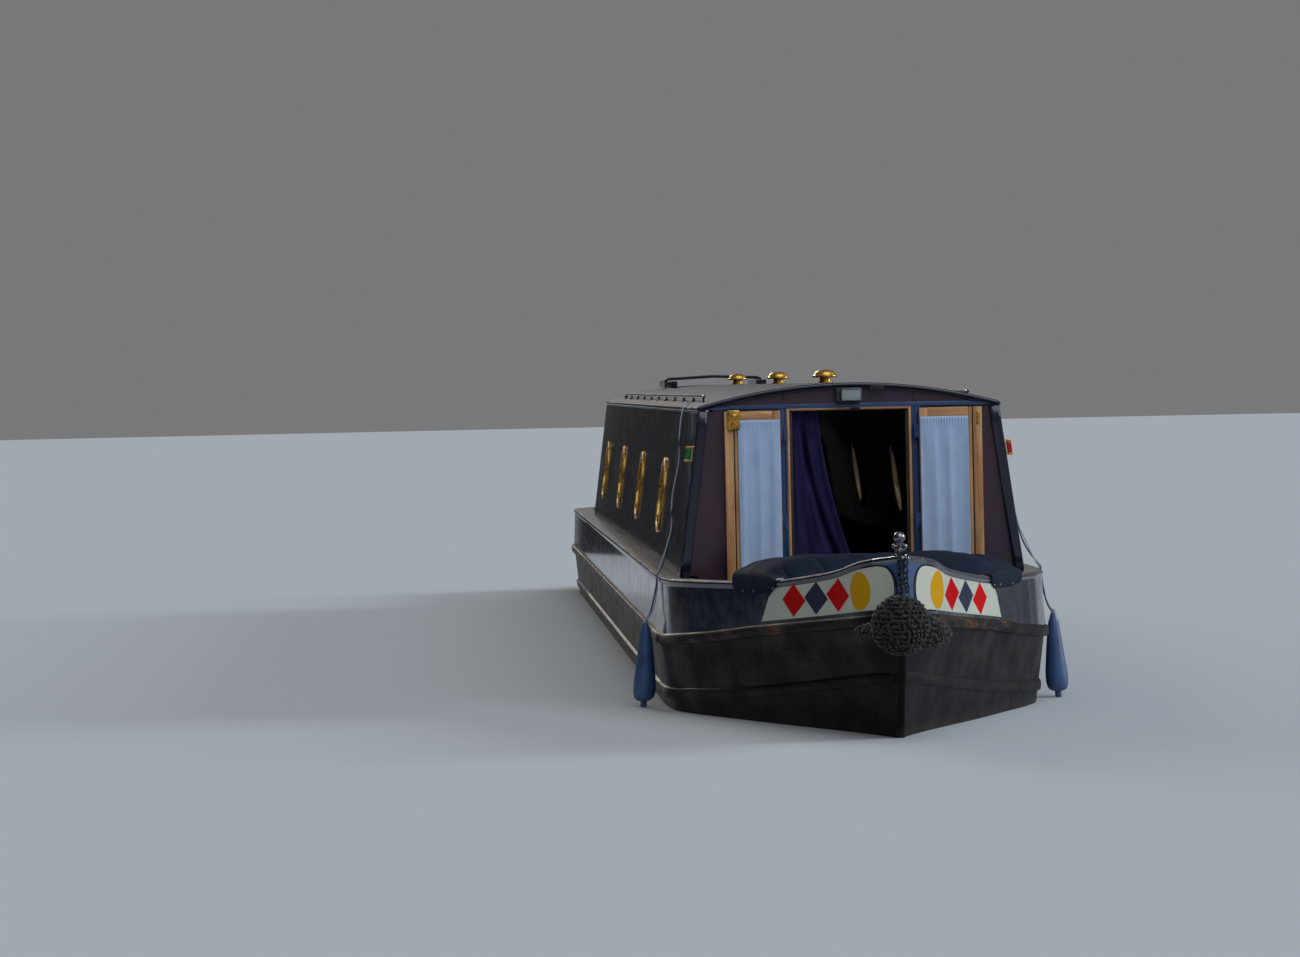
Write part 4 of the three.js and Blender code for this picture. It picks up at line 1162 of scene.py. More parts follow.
def makeFrontDoors():
    pinX, pinY, low, reach, half, bottom, top, windowFrom = frontDoor.values()
    front, back = pinY - half, pinY + half
    for name, side in sides.items():
        body = f"front_door_{name}"
        shape = Shape()
        high = reach[name]
        stile, inner, groove, hingeStile, boardCount = 0.048, 0.018, 0.006, 0.045, 4
        edge = high - stile

        # A part of the leaf, so far in from its front and its back
        def slab(xs, zs, near, far, cut=0.003, mark=0):
            shape.sideBox(side, xs, (front + near, back - far), zs, cut, mark)
        slab((edge, high), (bottom, top), 0, 0)
        slab((edge - groove, edge), (bottom, top - 0.004), 0.009, 0.004, 0.001, 2)
        slab((edge - groove - inner, edge - groove), (bottom + 0.002, top - 0.001), 0.001, 0.002)
        slab((low, low + hingeStile), (bottom, top - 0.001), 0.001, 0.001)
        for zs in ((top - 0.056, top), (windowFrom - 0.06, windowFrom), (bottom, bottom + 0.09)):
            slab((low + hingeStile, edge - groove - inner), zs, 0.002, 0.002, mark=1)
        span = (edge - groove - inner - low - hingeStile) / boardCount
        for k in range(boardCount):
            x0 = low + hingeStile + span * k
            slab((x0 + 0.0008, x0 + span - 0.0008), (bottom + 0.088, windowFrom - 0.058), 0.010, 0.008)
        shape.finish(f"frontDoor.{name}", "woodUp woodAcross rubber", body, "varnished_wood",
                     [f"front_door_{name}"], angle=30)
        # Painted skin on the outer face, which is at the back while the door stands open
        shape = Shape()
        shape.sideBox(side, (low + 0.004, high - 0.004), (back - 0.0005, back + 0.0012),
                      (bottom + 0.004, windowFrom), 0.0)
        pane = (low + 0.043, edge - groove - inner + 0.002)
        shape.sideBox(side, pane, (pinY - 0.002, pinY + 0.002), (windowFrom - 0.002, top - 0.05), 0.0, 1)
        shape.finish(f"frontDoorPane.{name}", "navy paneGlass", body, smooth=False)
        # Pin hinges, and a rim lock at the top of the starboard leaf
        shape = Shape()
        for z in (1.02, 1.52, 2.0):
            shape.turn(hingePin, place(side * pinX, pinY, z - 0.04), steps=14, mark=1)
            leaf = (pinX, low + 0.002), (pinY - 0.002, pinY + 0.0015), (z - 0.036, z + 0.036)
            shape.sideBox(side, *leaf, 0.0008, 1)
        if side < 0:
            lock = (high - 0.082, high - 0.018), (front - 0.017, front - 0.0005), (2.026, 2.131)
            lip = (high - 0.020, high - 0.012), (front - 0.012, front + 0.004), (2.034, 2.126)
            shape.sideBox(side, *lock, 0.004)
            shape.sideBox(side, *lip, 0.002)
            knob = [(0, 0), (0.008, 0), (0.008, 0.010), (0.014, 0.015), (0.017, 0.023), (0.013, 0.030),
                    (0, 0.032)]
            shape.turn(knob, place(side * (high - 0.050), front - 0.0165, 2.050), (0, -1, 0), 20)
            boss = [(0, 0), (0.017, 0), (0.016, 0.004), (0.009, 0.006), (0.008, 0.004), (0, 0.004)]
            shape.turn(boss, place(side * (high - 0.050), front - 0.0165, 2.094), (0, -1, 0), 24)
        else:
            keep = (high - 0.030, high - 0.012), (front - 0.005, front - 0.0003), (2.03, 2.10)
            shape.sideBox(side, *keep, 0.0015)
        shape.finish(f"frontDoorBrass.{name}", "brass navyTrim", body, "brass", angle=35)


makeFrontDoors()
print("front doors ready")


# Cloth. A sheet is a grid of points with a front and a back a millimetre or two apart
def clothPiece(name, at, acrossSteps, downSteps, thickness, finish, size):
    row = acrossSteps + 1
    spots = [(i / acrossSteps, j / downSteps) for j in range(downSteps + 1) for i in range(row)]
    faces = [(a, a + 1, a + row + 1, a + row)
             for j in range(downSteps) for a in range(j * row, j * row + acrossSteps)]
    uvs = [(u * size[0], (1 - v) * size[1]) for u, v in spots]
    piece = newPiece(name, [at(u, v) for u, v in spots], faces, [finishes[finish]], uvs=uvs)
    area = sum(f.area for f in piece.data.polygons)
    thick = piece.modifiers.new("thickness", "SOLIDIFY")
    thick.thickness = thickness
    thick.offset = 0
    return applyModifiers(piece), area


doorCurtain = {"from": 0.3775, "inset": {"port": 0.0735, "starboard": 0.071}, "top": 2.0755, "bottom": 0.885,
               "depth": 0.0056, "folds": 2.7}


def makeDoorCurtains():
    cloth = doorCurtain
    face = frontDoor["pinY"] - frontDoor["half"]
    tall = cloth["top"] - cloth["bottom"]
    for name, side, phase in (("port", 1, 0.4), ("starboard", -1, 2.1)):
        low, high = cloth["from"], frontDoor["to"][name] - cloth["inset"][name]

        def hang(u, v):
            z = cloth["top"] - tall * v
            ripple = noise.noise(Vector((u * 4 + phase * 7, v * 1.1, phase)))
            drift = noise.noise(Vector((v * 1.5, phase * 3, 2.0)))
            wide = sin(2 * pi * (cloth["folds"] * u + 0.28 * drift) + phase + 1.3 * ripple)
            soft = sin(2 * pi * (5.7 * u + 0.3 * ripple) + 2 * phase)
            head = exp(-((v - 0.018) / 0.022) ** 2)
            body = min(1, v * 7)
            fold = (0.8 * wide + 0.28 * soft * (0.6 + 0.4 * drift)) * body * (1 - 0.8 * head)
            depth = cloth["depth"] * fold
            depth += 0.0024 * sin(2 * pi * 17 * u + 1.5 * ripple) * (head + 0.12 * exp(-v * 9))
            frill = 0.0016 * sin(2 * pi * 17 * u) * (1 - min(1, v * 40))
            x = (low + high) / 2 + (u - 0.5) * (high - low) * (1 - 0.012 * (1 - v) + 0.012 * ripple * v)
            return place(side * x, face - 0.0082 + depth, z + frill)
        piece, area = clothPiece(f"doorCurtain.{name}", hang, 140, 90, 0.0009, "curtain", (0.30, tall))
        body = f"front_door_{name}"
        settle(piece, body, [f"door_curtain_{name}"])
        # Wires through the head and the foot of the curtain
        shape = Shape()
        for z in (cloth["top"] - 0.022, cloth["bottom"] + 0.03):
            line = [place(side * x, face - 0.0030, z) for x in (low - 0.001, (low + high) / 2, high + 0.006)]
            shape.tube(line, 0.0012, 8)
            eye = [(0, 0), (0.004, 0), (0.0035, 0.003), (0.0013, 0.005), (0.0013, 0.006), (0, 0.006)]
            shape.turn(eye, place(side * (high + 0.006), face - 0.0003, z), (0, -1, 0), 12)
        shape.finish(f"curtainWires.{name}", "brass", body, "brass", merge=None)


innerCurtain = {"left": -0.326, "top": 2.138, "bottom": 1.305, "topRight": -0.165, "bottomRight": 0.010,
                "y": 2.660}


def makeInnerCurtain():
    cloth = innerCurtain
    tall = cloth["top"] - cloth["bottom"]

    def hang(u, v):
        z = cloth["top"] - tall * v
        right = cloth["topRight"] + (cloth["bottomRight"] - cloth["topRight"]) * (0.35 * v + 0.65 * v ** 2)
        left = cloth["left"] + 0.006 * sin(4 * v + 1)
        ripple = noise.noise(Vector((u * 2.2, v * 1.4, 3.3)))
        x = left + (right - left) * u
        fold = sin(2 * pi * (2.4 * u + 0.35 * v) + 1.8 * ripple + 0.6)
        small = sin(2 * pi * (5.2 * u - 0.5 * v) + 2.6 * ripple)
        valley = exp(-((u - 0.36 - 0.42 * v) / 0.06) ** 2) * min(1, 3 * v)
        y = cloth["y"] + 0.0115 * fold * (0.45 + 0.55 * v) + 0.0030 * small + 0.045 * valley
        return place(x, y, z)
    piece, area = clothPiece("innerCurtain", hang, 110, 80, 0.0012, "purple", (0.5, tall))
    settle(piece, "hull", ["inner_curtain"])


makeDoorCurtains()
makeInnerCurtain()
print("curtains ready")


# Top of the foredeck, which falls away aft
def foredeckZ(y):
    return 1.360 - (y - 0.3) * 0.121


# Canvas over the front of the well, pulled down outside the gunwale
cover = {"y": (1.176, 1.675), "skew": 0.145, "crown": 1.390, "thickness": 0.0024, "overhang": 0.062,
         "out": 0.006, "falls": {1: (0.098, 0.056, 0.030), -1: (0.060, 0.031, 0.014)}}


def stationValue(y, key):
    index = stationKeys.index(key)
    return float(np.interp(y, [r[0] for r in stationRows], [r[index] for r in stationRows]))


# Half of a section across the boat, from the hem outside the gunwale to the middle
def coverHalf(y, side, v):
    half = 0.7
    for _ in range(6):
        half = stationValue(y + cover["skew"] * side * half, "guardHalf") + cover["out"]
    topZ = stationValue(y + cover["skew"] * side * half, "topZ")
    deck = foredeckZ(y) + 0.010
    rise = sin(pi / 2 * min(1, v / 0.38)) ** 0.8
    crown = deck + (cover["crown"] - deck) * rise - 0.012 * max(0, (v - 0.75) / 0.25) ** 2
    first, second, third = (fall * rise for fall in cover["falls"][side])
    lift = min(1, v / 0.12)
    shoulder = max(topZ + 0.005 + 0.015 * lift, crown - first)
    hem = cover["overhang"] * (0.25 + 0.75 * min(1, v / 0.16) ** 0.6)
    hem -= 0.020 * max(0, (v - 0.55) / 0.45) ** 2
    rows = [(half - 0.006, topZ - hem), (half + 0.002, topZ - hem * 0.7), (half + 0.005, topZ - 0.010),
            (half + 0.001, (topZ + shoulder) / 2 + 0.003), (half - 0.030, shoulder + 0.003),
            (half - 0.085, max(topZ + 0.004 + 0.010 * lift, crown - second)), (half - 0.170, crown - third),
            (half * 0.5, crown - 0.003), (half * 0.22, crown - 0.004)]
    return [(side * x, z) for x, z in rows]


def makeCover():
    fromY, toY = cover["y"]
    sections = {}

    def lay(u, v):
        if v not in sections:
            y = fromY + (toY - fromY) * v
            middle = coverHalf(y, 1, v)[-1][1]
            rows = coverHalf(y, -1, v) + [(0, middle)] + coverHalf(y, 1, v)[::-1]
            sections[v] = smoothLine([Vector((x, y + cover["skew"] * x, z)) for x, z in rows], 200)
        p, ahead = pointOn(sections[v], u * 200)
        out = Vector((-ahead.z, 0, ahead.x))
        edge = abs(u - 0.5) * 2
        wave = noise.noise(Vector((p.x * 2.2, p.y * 4.5, 1.0)))
        fine = noise.noise(Vector((p.x * 6 + wave, p.y * 10, 5.0)))
        crease = 1 - abs(noise.noise(Vector((p.x * 5 + 2 * p.y, p.y * 2.2 - p.x, 9.0)))) * 4
        push = 0.009 * wave * (0.35 + edge) + 0.004 * fine - 0.011 * max(0, crease) ** 2 * (0.3 + edge)
        slack = 1 - 0.85 * min(1, max(0, (edge - 0.82) / 0.06))
        tuck = sin(2 * pi * (p.y * 4.6 + 0.5 * wave)) * 0.003 * max(0, (edge - 0.82) / 0.18)
        q = p + out * (min(0.005, push) * slack + max(0, tuck))
        return place(q.x, q.y, q.z - 0.004 * abs(sin(4.2 * p.x + 0.7)) * sin(pi * v) * (1 - edge))
    long = toY - fromY
    piece, area = clothPiece("wellCover", lay, 220, 100, cover["thickness"], "canvas", (2.0, long))
    settle(piece, "hull", ["well_cover"])
    # Turn-buttons hold it to the topside
    spots = []
    for side, middles in ((-1, (1.44, 1.56)), (1, (1.22, 1.32, 1.52))):
        for y in middles:
            x, z = coverHalf(y, side, 0.6)[1]
            spots.append((place(x + side * 0.0022, y + cover["skew"] * x, z - 0.004), side))
    x, z = coverHalf(1.21, -1, 0.3)[1]
    spots.append((place(x - 0.002, 1.13, z), -1))
    spots = [(at, Vector((side, -0.5, 0)).normalized(), (0, 0, 1)) for at, side in spots]
    heads = growOn("coverStuds", spots, makeStudTree("coverStudHeads", "steel"), {"Head": 0.0075})
    settle(heads, "hull")


# Geometry Nodes trees for what repeats. Each has named sizes and gives plain joined geometry
def startTree(name, sizes):
    tree = bpy.data.node_groups.new(name, "GeometryNodeTree")
    tree.interface.new_socket(name="Geometry", in_out="INPUT", socket_type="NodeSocketGeometry")
    for label, value in sizes.items():
        kind = "NodeSocketInt" if isinstance(value, int) else "NodeSocketFloat"
        tree.interface.new_socket(name=label, in_out="INPUT", socket_type=kind).default_value = value
    tree.interface.new_socket(name="Geometry", in_out="OUTPUT", socket_type="NodeSocketGeometry")
    return Net(tree), tree.nodes.new("NodeGroupInput").outputs


# Ends a tree: instances on the points of the geometry, turned by the points' own attributes
def finishTree(net, given, shape, look):
    stand, heading = (net.node("GeometryNodeInputNamedAttribute", "Attribute", {"Name": key},
                               data_type="FLOAT_VECTOR") for key in ("stand", "heading"))
    up = net.node("FunctionNodeAlignRotationToVector", "Rotation", {"Vector": stand}, axis="Z")
    turn = net.node("FunctionNodeAlignRotationToVector", "Rotation", {"Rotation": up, "Vector": heading},
                    axis="X", pivot_axis="Z")
    low, high = (net.node("ShaderNodeMath", 0, {0: 1, 1: given["Spread"]}, operation=way)
                 for way in ("SUBTRACT", "ADD"))
    size = net.node("FunctionNodeRandomValue", 1, {2: low, 3: high, "Seed": given["Seed"]},
                    data_type="FLOAT")
    made = net.node("GeometryNodeInstanceOnPoints", "Instances", {
        "Points": given["Geometry"], "Instance": shape, "Rotation": turn, "Scale": size})
    for kind, more in (("RealizeInstances", {}), ("SetShadeSmooth", {}),
                       ("SetMaterial", {"Material": finishes[look]})):
        made = net.node(f"GeometryNode{kind}", "Geometry", {"Geometry": made} | more)
    net.feed(net.tree.nodes.new("NodeGroupOutput"), {"Geometry": made})
    return net.tree


# A round section run along a curve
def sweptWire(net, curve, radius, sides, caps):
    circle = net.node("GeometryNodeCurvePrimitiveCircle", "Curve", {"Resolution": sides, "Radius": radius})
    return net.node("GeometryNodeCurveToMesh", "Mesh",
                    {"Curve": curve, "Profile Curve": circle, "Fill Caps": caps})


# Rope bights that stand out of a fender, each a short bowed piece of rope
def makeBightTree():
    net, given = startTree("ropeBights", {"Bow": 0.0108, "Rope": 0.0076, "Spread": 0.2, "Seed": 7})
    arc = net.node("GeometryNodeCurveArc", "Curve", {
        "Resolution": 7, "Start Angle": radians(-25), "Sweep Angle": radians(230), "Radius": given["Bow"]},
        mode="RADIUS")
    upright = net.node("GeometryNodeTransform", "Geometry", {
        "Geometry": arc, "Rotation": (radians(90), 0, radians(14))})
    return finishTree(net, given, sweptWire(net, upright, given["Rope"], 6, True), "rope")


# A chain link: round wire bent to a long ring that lies flat across its stand direction
def makeLinkTree():
    net, given = startTree("chainLinks", {"Length": 0.040, "Width": 0.026, "Wire": 0.0036, "Spread": 0.0,
                                          "Seed": 3})
    ring = net.node("GeometryNodeCurvePrimitiveQuadrilateral", "Curve", {
        "Width": given["Length"], "Height": given["Width"]}, mode="RECTANGLE")
    corner = net.node("ShaderNodeMath", 0, {0: given["Width"], 1: 0.48}, operation="MULTIPLY")
    rounded = net.node("GeometryNodeFilletCurve", "Curve", {"Curve": ring, "Radius": corner, "Count": 4},
                       mode="POLY")
    return finishTree(net, given, sweptWire(net, rounded, given["Wire"], 8, False), "darkSteel")


# Domed fastener heads
def makeStudTree(name, look):
    net, given = startTree(name, {"Head": 0.007, "Dome": 0.55, "Spread": 0.04, "Seed": 5})
    ball = net.node("GeometryNodeMeshUVSphere", "Mesh",
                    {"Segments": 12, "Rings": 6, "Radius": given["Head"]})
    squeeze = net.node("ShaderNodeCombineXYZ", 0, {0: 1, 1: 1, 2: given["Dome"]})
    dome = net.node("GeometryNodeTransform", "Geometry", {"Geometry": ball, "Scale": squeeze})
    return finishTree(net, given, dome, look)


# Runs a tree on points that carry a stand and a heading direction, and gives a plain mesh
def growOn(name, spots, tree, sizes):
    mesh = bpy.data.meshes.new(name)
    mesh.from_pydata([tuple(spot[0]) for spot in spots], [], [])
    for key, index in (("stand", 1), ("heading", 2)):
        attribute = mesh.attributes.new(key, "FLOAT_VECTOR", "POINT")
        attribute.data.foreach_set("vector", [v for spot in spots for v in spot[index]])
    piece = linked(name, mesh)
    modifier = piece.modifiers.new("grow", "NODES")
    modifier.node_group = tree
    for item in tree.interface.items_tree:
        if item.in_out == "INPUT" and item.name in sizes:
            modifier[item.identifier] = sizes[item.name]
    applyModifiers(piece)
    for key in ("stand", "heading"):
        if key in piece.data.attributes:
            piece.data.attributes.remove(piece.data.attributes[key])
    return piece


# A piece's faces go into a shape, and the piece itself goes
def absorb(shape, piece):
    mesh = piece.data
    shape.add([v.co.copy() for v in mesh.vertices], [list(f.vertices) for f in mesh.polygons])
    bpy.data.objects.remove(piece)
    bpy.data.meshes.remove(mesh)


# Rope fenders: a laid core with bights of rope worked all over it
bowFender = {
    "centre": (-0.032, -0.172, 1.103), "radius": (0.128, 0.126, 0.131), "spacing": 0.0252,
    "tails": {"port": [(0.010, -0.150, 1.095, 0.082), (0.078, -0.112, 1.074, 0.070),
                       (0.136, -0.044, 1.056, 0.056), (0.184, 0.046, 1.046, 0.044),
                       (0.206, 0.094, 1.042, 0.026)],
              "starboard": [(-0.050, -0.150, 1.097, 0.070), (-0.104, -0.100, 1.082, 0.044),
                            (-0.142, -0.030, 1.072, 0.030), (-0.184, 0.066, 1.066, 0.020),
                            (-0.204, 0.116, 1.064, 0.012)]}}


# One value for each of so many even steps along a list of values
def spreadOver(values, steps):
    return [float(np.interp(k / steps, np.linspace(0, 1, len(values)), values)) for k in range(steps + 1)]


def ballSpots(centre, radius, spacing, seed):
    chance = random.Random(seed)
    spots = []
    rows = int(pi * radius[2] / (spacing * 0.86))
    for row in range(1, rows):
        polar = pi * row / rows
        around = max(3, int(2 * pi * radius[0] * sin(polar) / spacing))
        for k in range(around):
            angle = 2 * pi * (k + 0.5 * (row % 2)) / around + chance.uniform(-0.05, 0.05)
            out = Vector((sin(polar) * cos(angle), sin(polar) * sin(angle), cos(polar)))
            at = Vector(centre) + Vector((out.x * radius[0], out.y * radius[1], out.z * radius[2]))
            turned = chance.uniform(0, pi)
            heading = Vector((-sin(angle) * cos(turned), cos(angle) * cos(turned), sin(turned)))
            spots.append((at, out, heading))
    return spots


def tubeSpots(line, radii, spacing, seed):
    chance = random.Random(seed)
    frames = carriedFrames(line)
    spots = []
    travelled, wanted, row = 0.0, 0.0, 0
    for i in range(1, len(line)):
        travelled += (line[i] - line[i - 1]).length
        if travelled < wanted:
            continue
        wanted += spacing * 0.86
        row += 1
        side, rise = frames[i]
        around = max(4, int(2 * pi * radii[i] / spacing))
        tangent = side.cross(rise)
        for k in range(around):
            angle = 2 * pi * (k + 0.5 * (row % 2)) / around
            out = side * cos(angle) + rise * sin(angle)
            turned = chance.uniform(0, pi)
            heading = out.cross(tangent) * cos(turned) + tangent * sin(turned)
            spots.append((line[i] + out * radii[i], out, heading))
    return spots


def makeBowFender(bights):
    centre = place(*bowFender["centre"])
    rx, ry, rz = bowFender["radius"]
    shape = Shape()
    profile = [(rx * sin(pi * k / 20), -rz * cos(pi * k / 20)) for k in range(21)]
    profile[0], profile[-1] = (0, -rz), (0, rz)
    shape.turn(profile, centre, steps=40)
    spots = ballSpots(centre, (rx, ry, rz), bowFender["spacing"], 11)
    for side, rows in bowFender["tails"].items():
        line = smoothLine([place(*row[:3]) for row in rows], 46)
        radii = spreadOver([row[3] for row in rows], 46)
        shape.tube(line, radii, 24)
        # One bight at the very end and eight round it
        for k in range(9):
            angle = 2 * pi * k / 8
            out = (line[-1] - line[-3]).normalized() + Vector((cos(angle), 0, sin(angle))) * 0.7 * (k > 0)
            spots.append((line[-1] + out.normalized() * radii[-1] * 0.6, out.normalized(), (0, 0, 1)))
        for spot in tubeSpots(line, radii, bowFender["spacing"], 12 if side == "port" else 13):
            away = spot[0] - centre
            if Vector((away.x / rx, away.y / ry, away.z / rz)).length > 1.06:
                spots.append(spot)
    # The core is near black, partly its tar and partly painted shade in the gaps between the bights
    core = shape.finish("bowFenderCore", "tarAndGapShade", "hull", "tarred_rope", ["bow_fender"], merge=None)
    settle(growOn("bowFenderBights", spots, bights, {"Seed": 7}), "hull")


def makeSternFender(bights):
    rows = [(-0.190, 17.470, 0.050), (-0.100, 17.500, 0.080), (0, 17.512, 0.106), (0.100, 17.500, 0.080),
            (0.190, 17.470, 0.050)]
    line = smoothLine([place(x, y, 0.905) for x, y, r in rows], 48)
    radii = spreadOver([r for x, y, r in rows], 48)
    shape = Shape()
    shape.tube(line, radii, 24)
    # The core is near black, partly its tar and partly painted shade in the gaps between the bights
    core = shape.finish("sternFenderCore", "tarAndGapShade", "hull", "tarred_rope", ["stern_fender"], merge=None)
    spots = tubeSpots(line, radii, 0.031, 21)
    settle(growOn("sternFenderBights", spots, bights, {"Seed": 9}), "hull")


# Two falls of chain from the stud over the nose to the fender
bowChain = {
    "pitch": 0.0305,
    "falls": [[(0.012, 0.060, 1.4425), (0.016, 0.004, 1.4435), (0.014, -0.013, 1.420),
               (0.013, -0.020, 1.345), (0.010, -0.060, 1.300), (0.010, -0.108, 1.262),
               (0.006, -0.134, 1.226)],
              [(-0.012, 0.060, 1.4425), (-0.018, 0.006, 1.4435), (-0.016, -0.012, 1.420),
               (-0.019, -0.020, 1.345), (-0.018, -0.064, 1.296), (-0.020, -0.106, 1.263),
               (-0.024, -0.130, 1.228)]]}


def makeBowChain(links):
    spots = []
    for index, fall in enumerate(bowChain["falls"]):
        line = smoothLine([place(*p) for p in fall], 120)
        length = sum((b - a).length for a, b in zip(line, line[1:]))
        count = int(length / bowChain["pitch"])
        for k in range(count):
            at, run = pointOn(line, (k + 0.5 + 0.3 * index) / (count + 0.3) * 120)
            side = run.cross(Vector((1, 0, 0))).normalized()
            lean = radians(38 if (k + index) % 2 else -52)
            stand = side * cos(lean) + Vector((1, 0, 0)) * sin(lean)
            spots.append((at, stand, run))
    settle(growOn("bowChainLinks", spots, links, {}), "hull", ["bow_chain"])


# Mooring stud on the nose
def makeStud():
    first, second = (dict(zip(stationKeys, row)) for row in stationRows[:2])
    slope = (first["topZ"] - second["topZ"]) / (second["y"] - first["y"])
    base = first["topZ"] - slope * (0.11 - first["y"])
    profile = [(0, 0), (0.040, 0), (0.041, 0.004), (0.039, 0.009), (0.020, 0.014), (0.0150, 0.024),
               (0.0135, 0.056), (0.0150, 0.068), (0.0195, 0.0735)]
    for k in range(12):
        angle = -0.92 + (pi / 2 + 0.92) * k / 11
        profile.append((0.0292 * cos(angle), 0.0950 + 0.0292 * sin(angle)))
    profile[-1] = (0, 0.1242)
    shape = Shape()
    origin = place(0, 0.11, base + 0.0008)
    axis = Vector((0, slope, 1)).normalized()
    shape.turn(profile, origin, axis, 36)
    bar = [(0, -0.0385), (0.006, -0.0375), (0.0125, -0.032), (0.0145, -0.026), (0.0125, -0.020),
           (0.0088, -0.016), (0.0088, 0.016), (0.0125, 0.020), (0.0145, 0.026), (0.0125, 0.032),
           (0.006, 0.0375), (0, 0.0385)]
    shape.turn(bar, origin + axis * 0.052, (1, 0, 0), 20)
    # A few turns of old rope are left round the neck
    turns = []
    for k in range(61):
        angle = 2 * pi * 2.6 * k / 60
        reach = 0.0200 + 0.0015 * sin(3 * angle)
        turns.append(origin + Vector((reach * cos(angle), reach * sin(angle), 0.022 + 0.018 * k / 60)))
    shape.tube(turns, 0.0055, 10, mark=1)
    shape.finish("mooringStud", "chrome rope", "hull", "bare_steel", ["t_stud"], angle=50)


# Side fenders hang on doubled lines from the handrails
sideFender = {"x": 1.112, "y": 2.780, "lean": 0.020,
              "profile": [(0, 0.531), (0.014, 0.5325), (0.0180, 0.537), (0.0175, 0.552), (0.0200, 0.563),
                          (0.034, 0.568), (0.048, 0.578), (0.0565, 0.600), (0.0600, 0.630), (0.0585, 0.670),
                          (0.0530, 0.725), (0.0465, 0.785), (0.0400, 0.842), (0.0335, 0.895), (0.0270, 0.940),
                          (0.0205, 0.966), (0.0172, 0.977), (0.0145, 0.987), (0.008, 0.992), (0, 0.993)]}


def makeSideFenders():
    for name, side in sides.items():
        x, y = side * sideFender["x"], sideFender["y"]
        shape = Shape()
        profile = sideFender["profile"]
        fine = smoothLine([Vector((r, 0, z)) for r, z in profile], 130)
        fine = [(max(0, p.x), p.z) for p in fine]
        fine[0], fine[-1] = (0, profile[0][1]), (0, profile[-1][1])
        shape.turn(fine, place(x, y, 0), steps=36)
        # A moulded seam and an air plug
        for turn in (0, pi):
            seam = [place(x + (r + 0.0004) * cos(turn), y + (r + 0.0004) * sin(turn), z)
                    for r, z in fine[14:-14]]
            shape.tube(seam, 0.0012, 6)
        plug = [(0, 0), (0.008, 0), (0.0075, 0.003), (0.004, 0.0045), (0, 0.0045)]
        shape.turn(plug, place(x, y + 0.0405, 0.574), (0, 0.86, -0.5), 14, mark=1)
        for p in shape.points:
            p.x += side * sideFender["lean"] * max(0, (0.94 - p.z) / 0.41) ** 1.5
        shape.finish(f"sideFender.{name}", "vinyl whiteLine", "hull", "blue_vinyl", [f"side_fender_{name}"],
                     merge=1e-7, angle=45)
        route = [(0.800, 3.612, 2.168), (0.836, 3.600, 2.140), (0.905, 3.290, 1.745), (0.975, 2.960, 1.405),
                 (1.028, 2.815, 1.272), (1.0425, 2.788, 1.246), (1.050, 2.782, 1.165), (1.078, 2.780, 1.052),
                 (1.112, 2.780, 0.992)]
        middle = smoothLine([place(side * a, b, c) for a, b, c in route], 150)
        frames = carriedFrames(middle)
        for number, (finish, phase) in enumerate((("whiteLine", 0.0), ("blueLine", pi))):
            line = []
            for k, (p, (aside, rise)) in enumerate(zip(middle, frames)):
                angle = phase + k * 0.13
                apart = 0.0046 + 0.003 * sin(pi * k / 150) ** 2
                line.append(p + (aside * cos(angle) + rise * sin(angle)) * apart)
            shape = Shape()
            shape.tube(line, 0.0042, 8)
            if number == 0:
                knot = []
                for k in range(49):
                    angle = 2 * pi * 2.2 * k / 48
                    knot.append(place(x + 0.0105 * cos(angle), y + 0.0105 * sin(angle),
                                      0.984 + 0.024 * k / 48))
                shape.tube(knot, 0.0042, 8)
            shape.finish(f"fenderLine.{finish}.{name}", finish, "hull", "fender_line",
                         [f"fender_line_{name}"] if number == 0 else [], merge=None)


makeCover()
print("cover ready")
bights = makeBightTree()
makeBowFender(bights)
makeSternFender(bights)
makeBowChain(makeLinkTree())
makeStud()
makeSideFenders()
print("fenders ready")


# Roof vents, lamps and portholes
def makeVents():
    for number, y in enumerate((4.0, 7.4, 11.2), 1):
        foot = [(0, 0), (0.045, 0), (0.0465, 0.003), (0.045, 0.006), (0.033, 0.009), (0.0315, 0.014),
                (0.0315, 0.044), (0, 0.044)]
        shape = Shape()
        at = place(0, y, cabin["crownZ"] + 0.0004)
        shape.turn(foot, at, steps=40)
        dome = [(0, 0.030), (0.0325, 0.030), (0.0650, 0.0310), (0.0705, 0.0330), (0.0718, 0.0375),
                (0.0705, 0.0420), (0.0660, 0.0450), (0.0635, 0.0475), (0.0610, 0.0540), (0.0540, 0.0630),
                (0.0430, 0.0700), (0.0290, 0.0742), (0.0150, 0.0762), (0, 0.0768)]
        shape.turn(dome, at, steps=56)
        shape.finish(f"roofVent{number}", "brass", "hull", "brass", [f"roof_vent_{number}"])


tunnelLamp = {"x": (-0.074, 0.066), "z": (2.163, 2.240), "depth": 0.070}


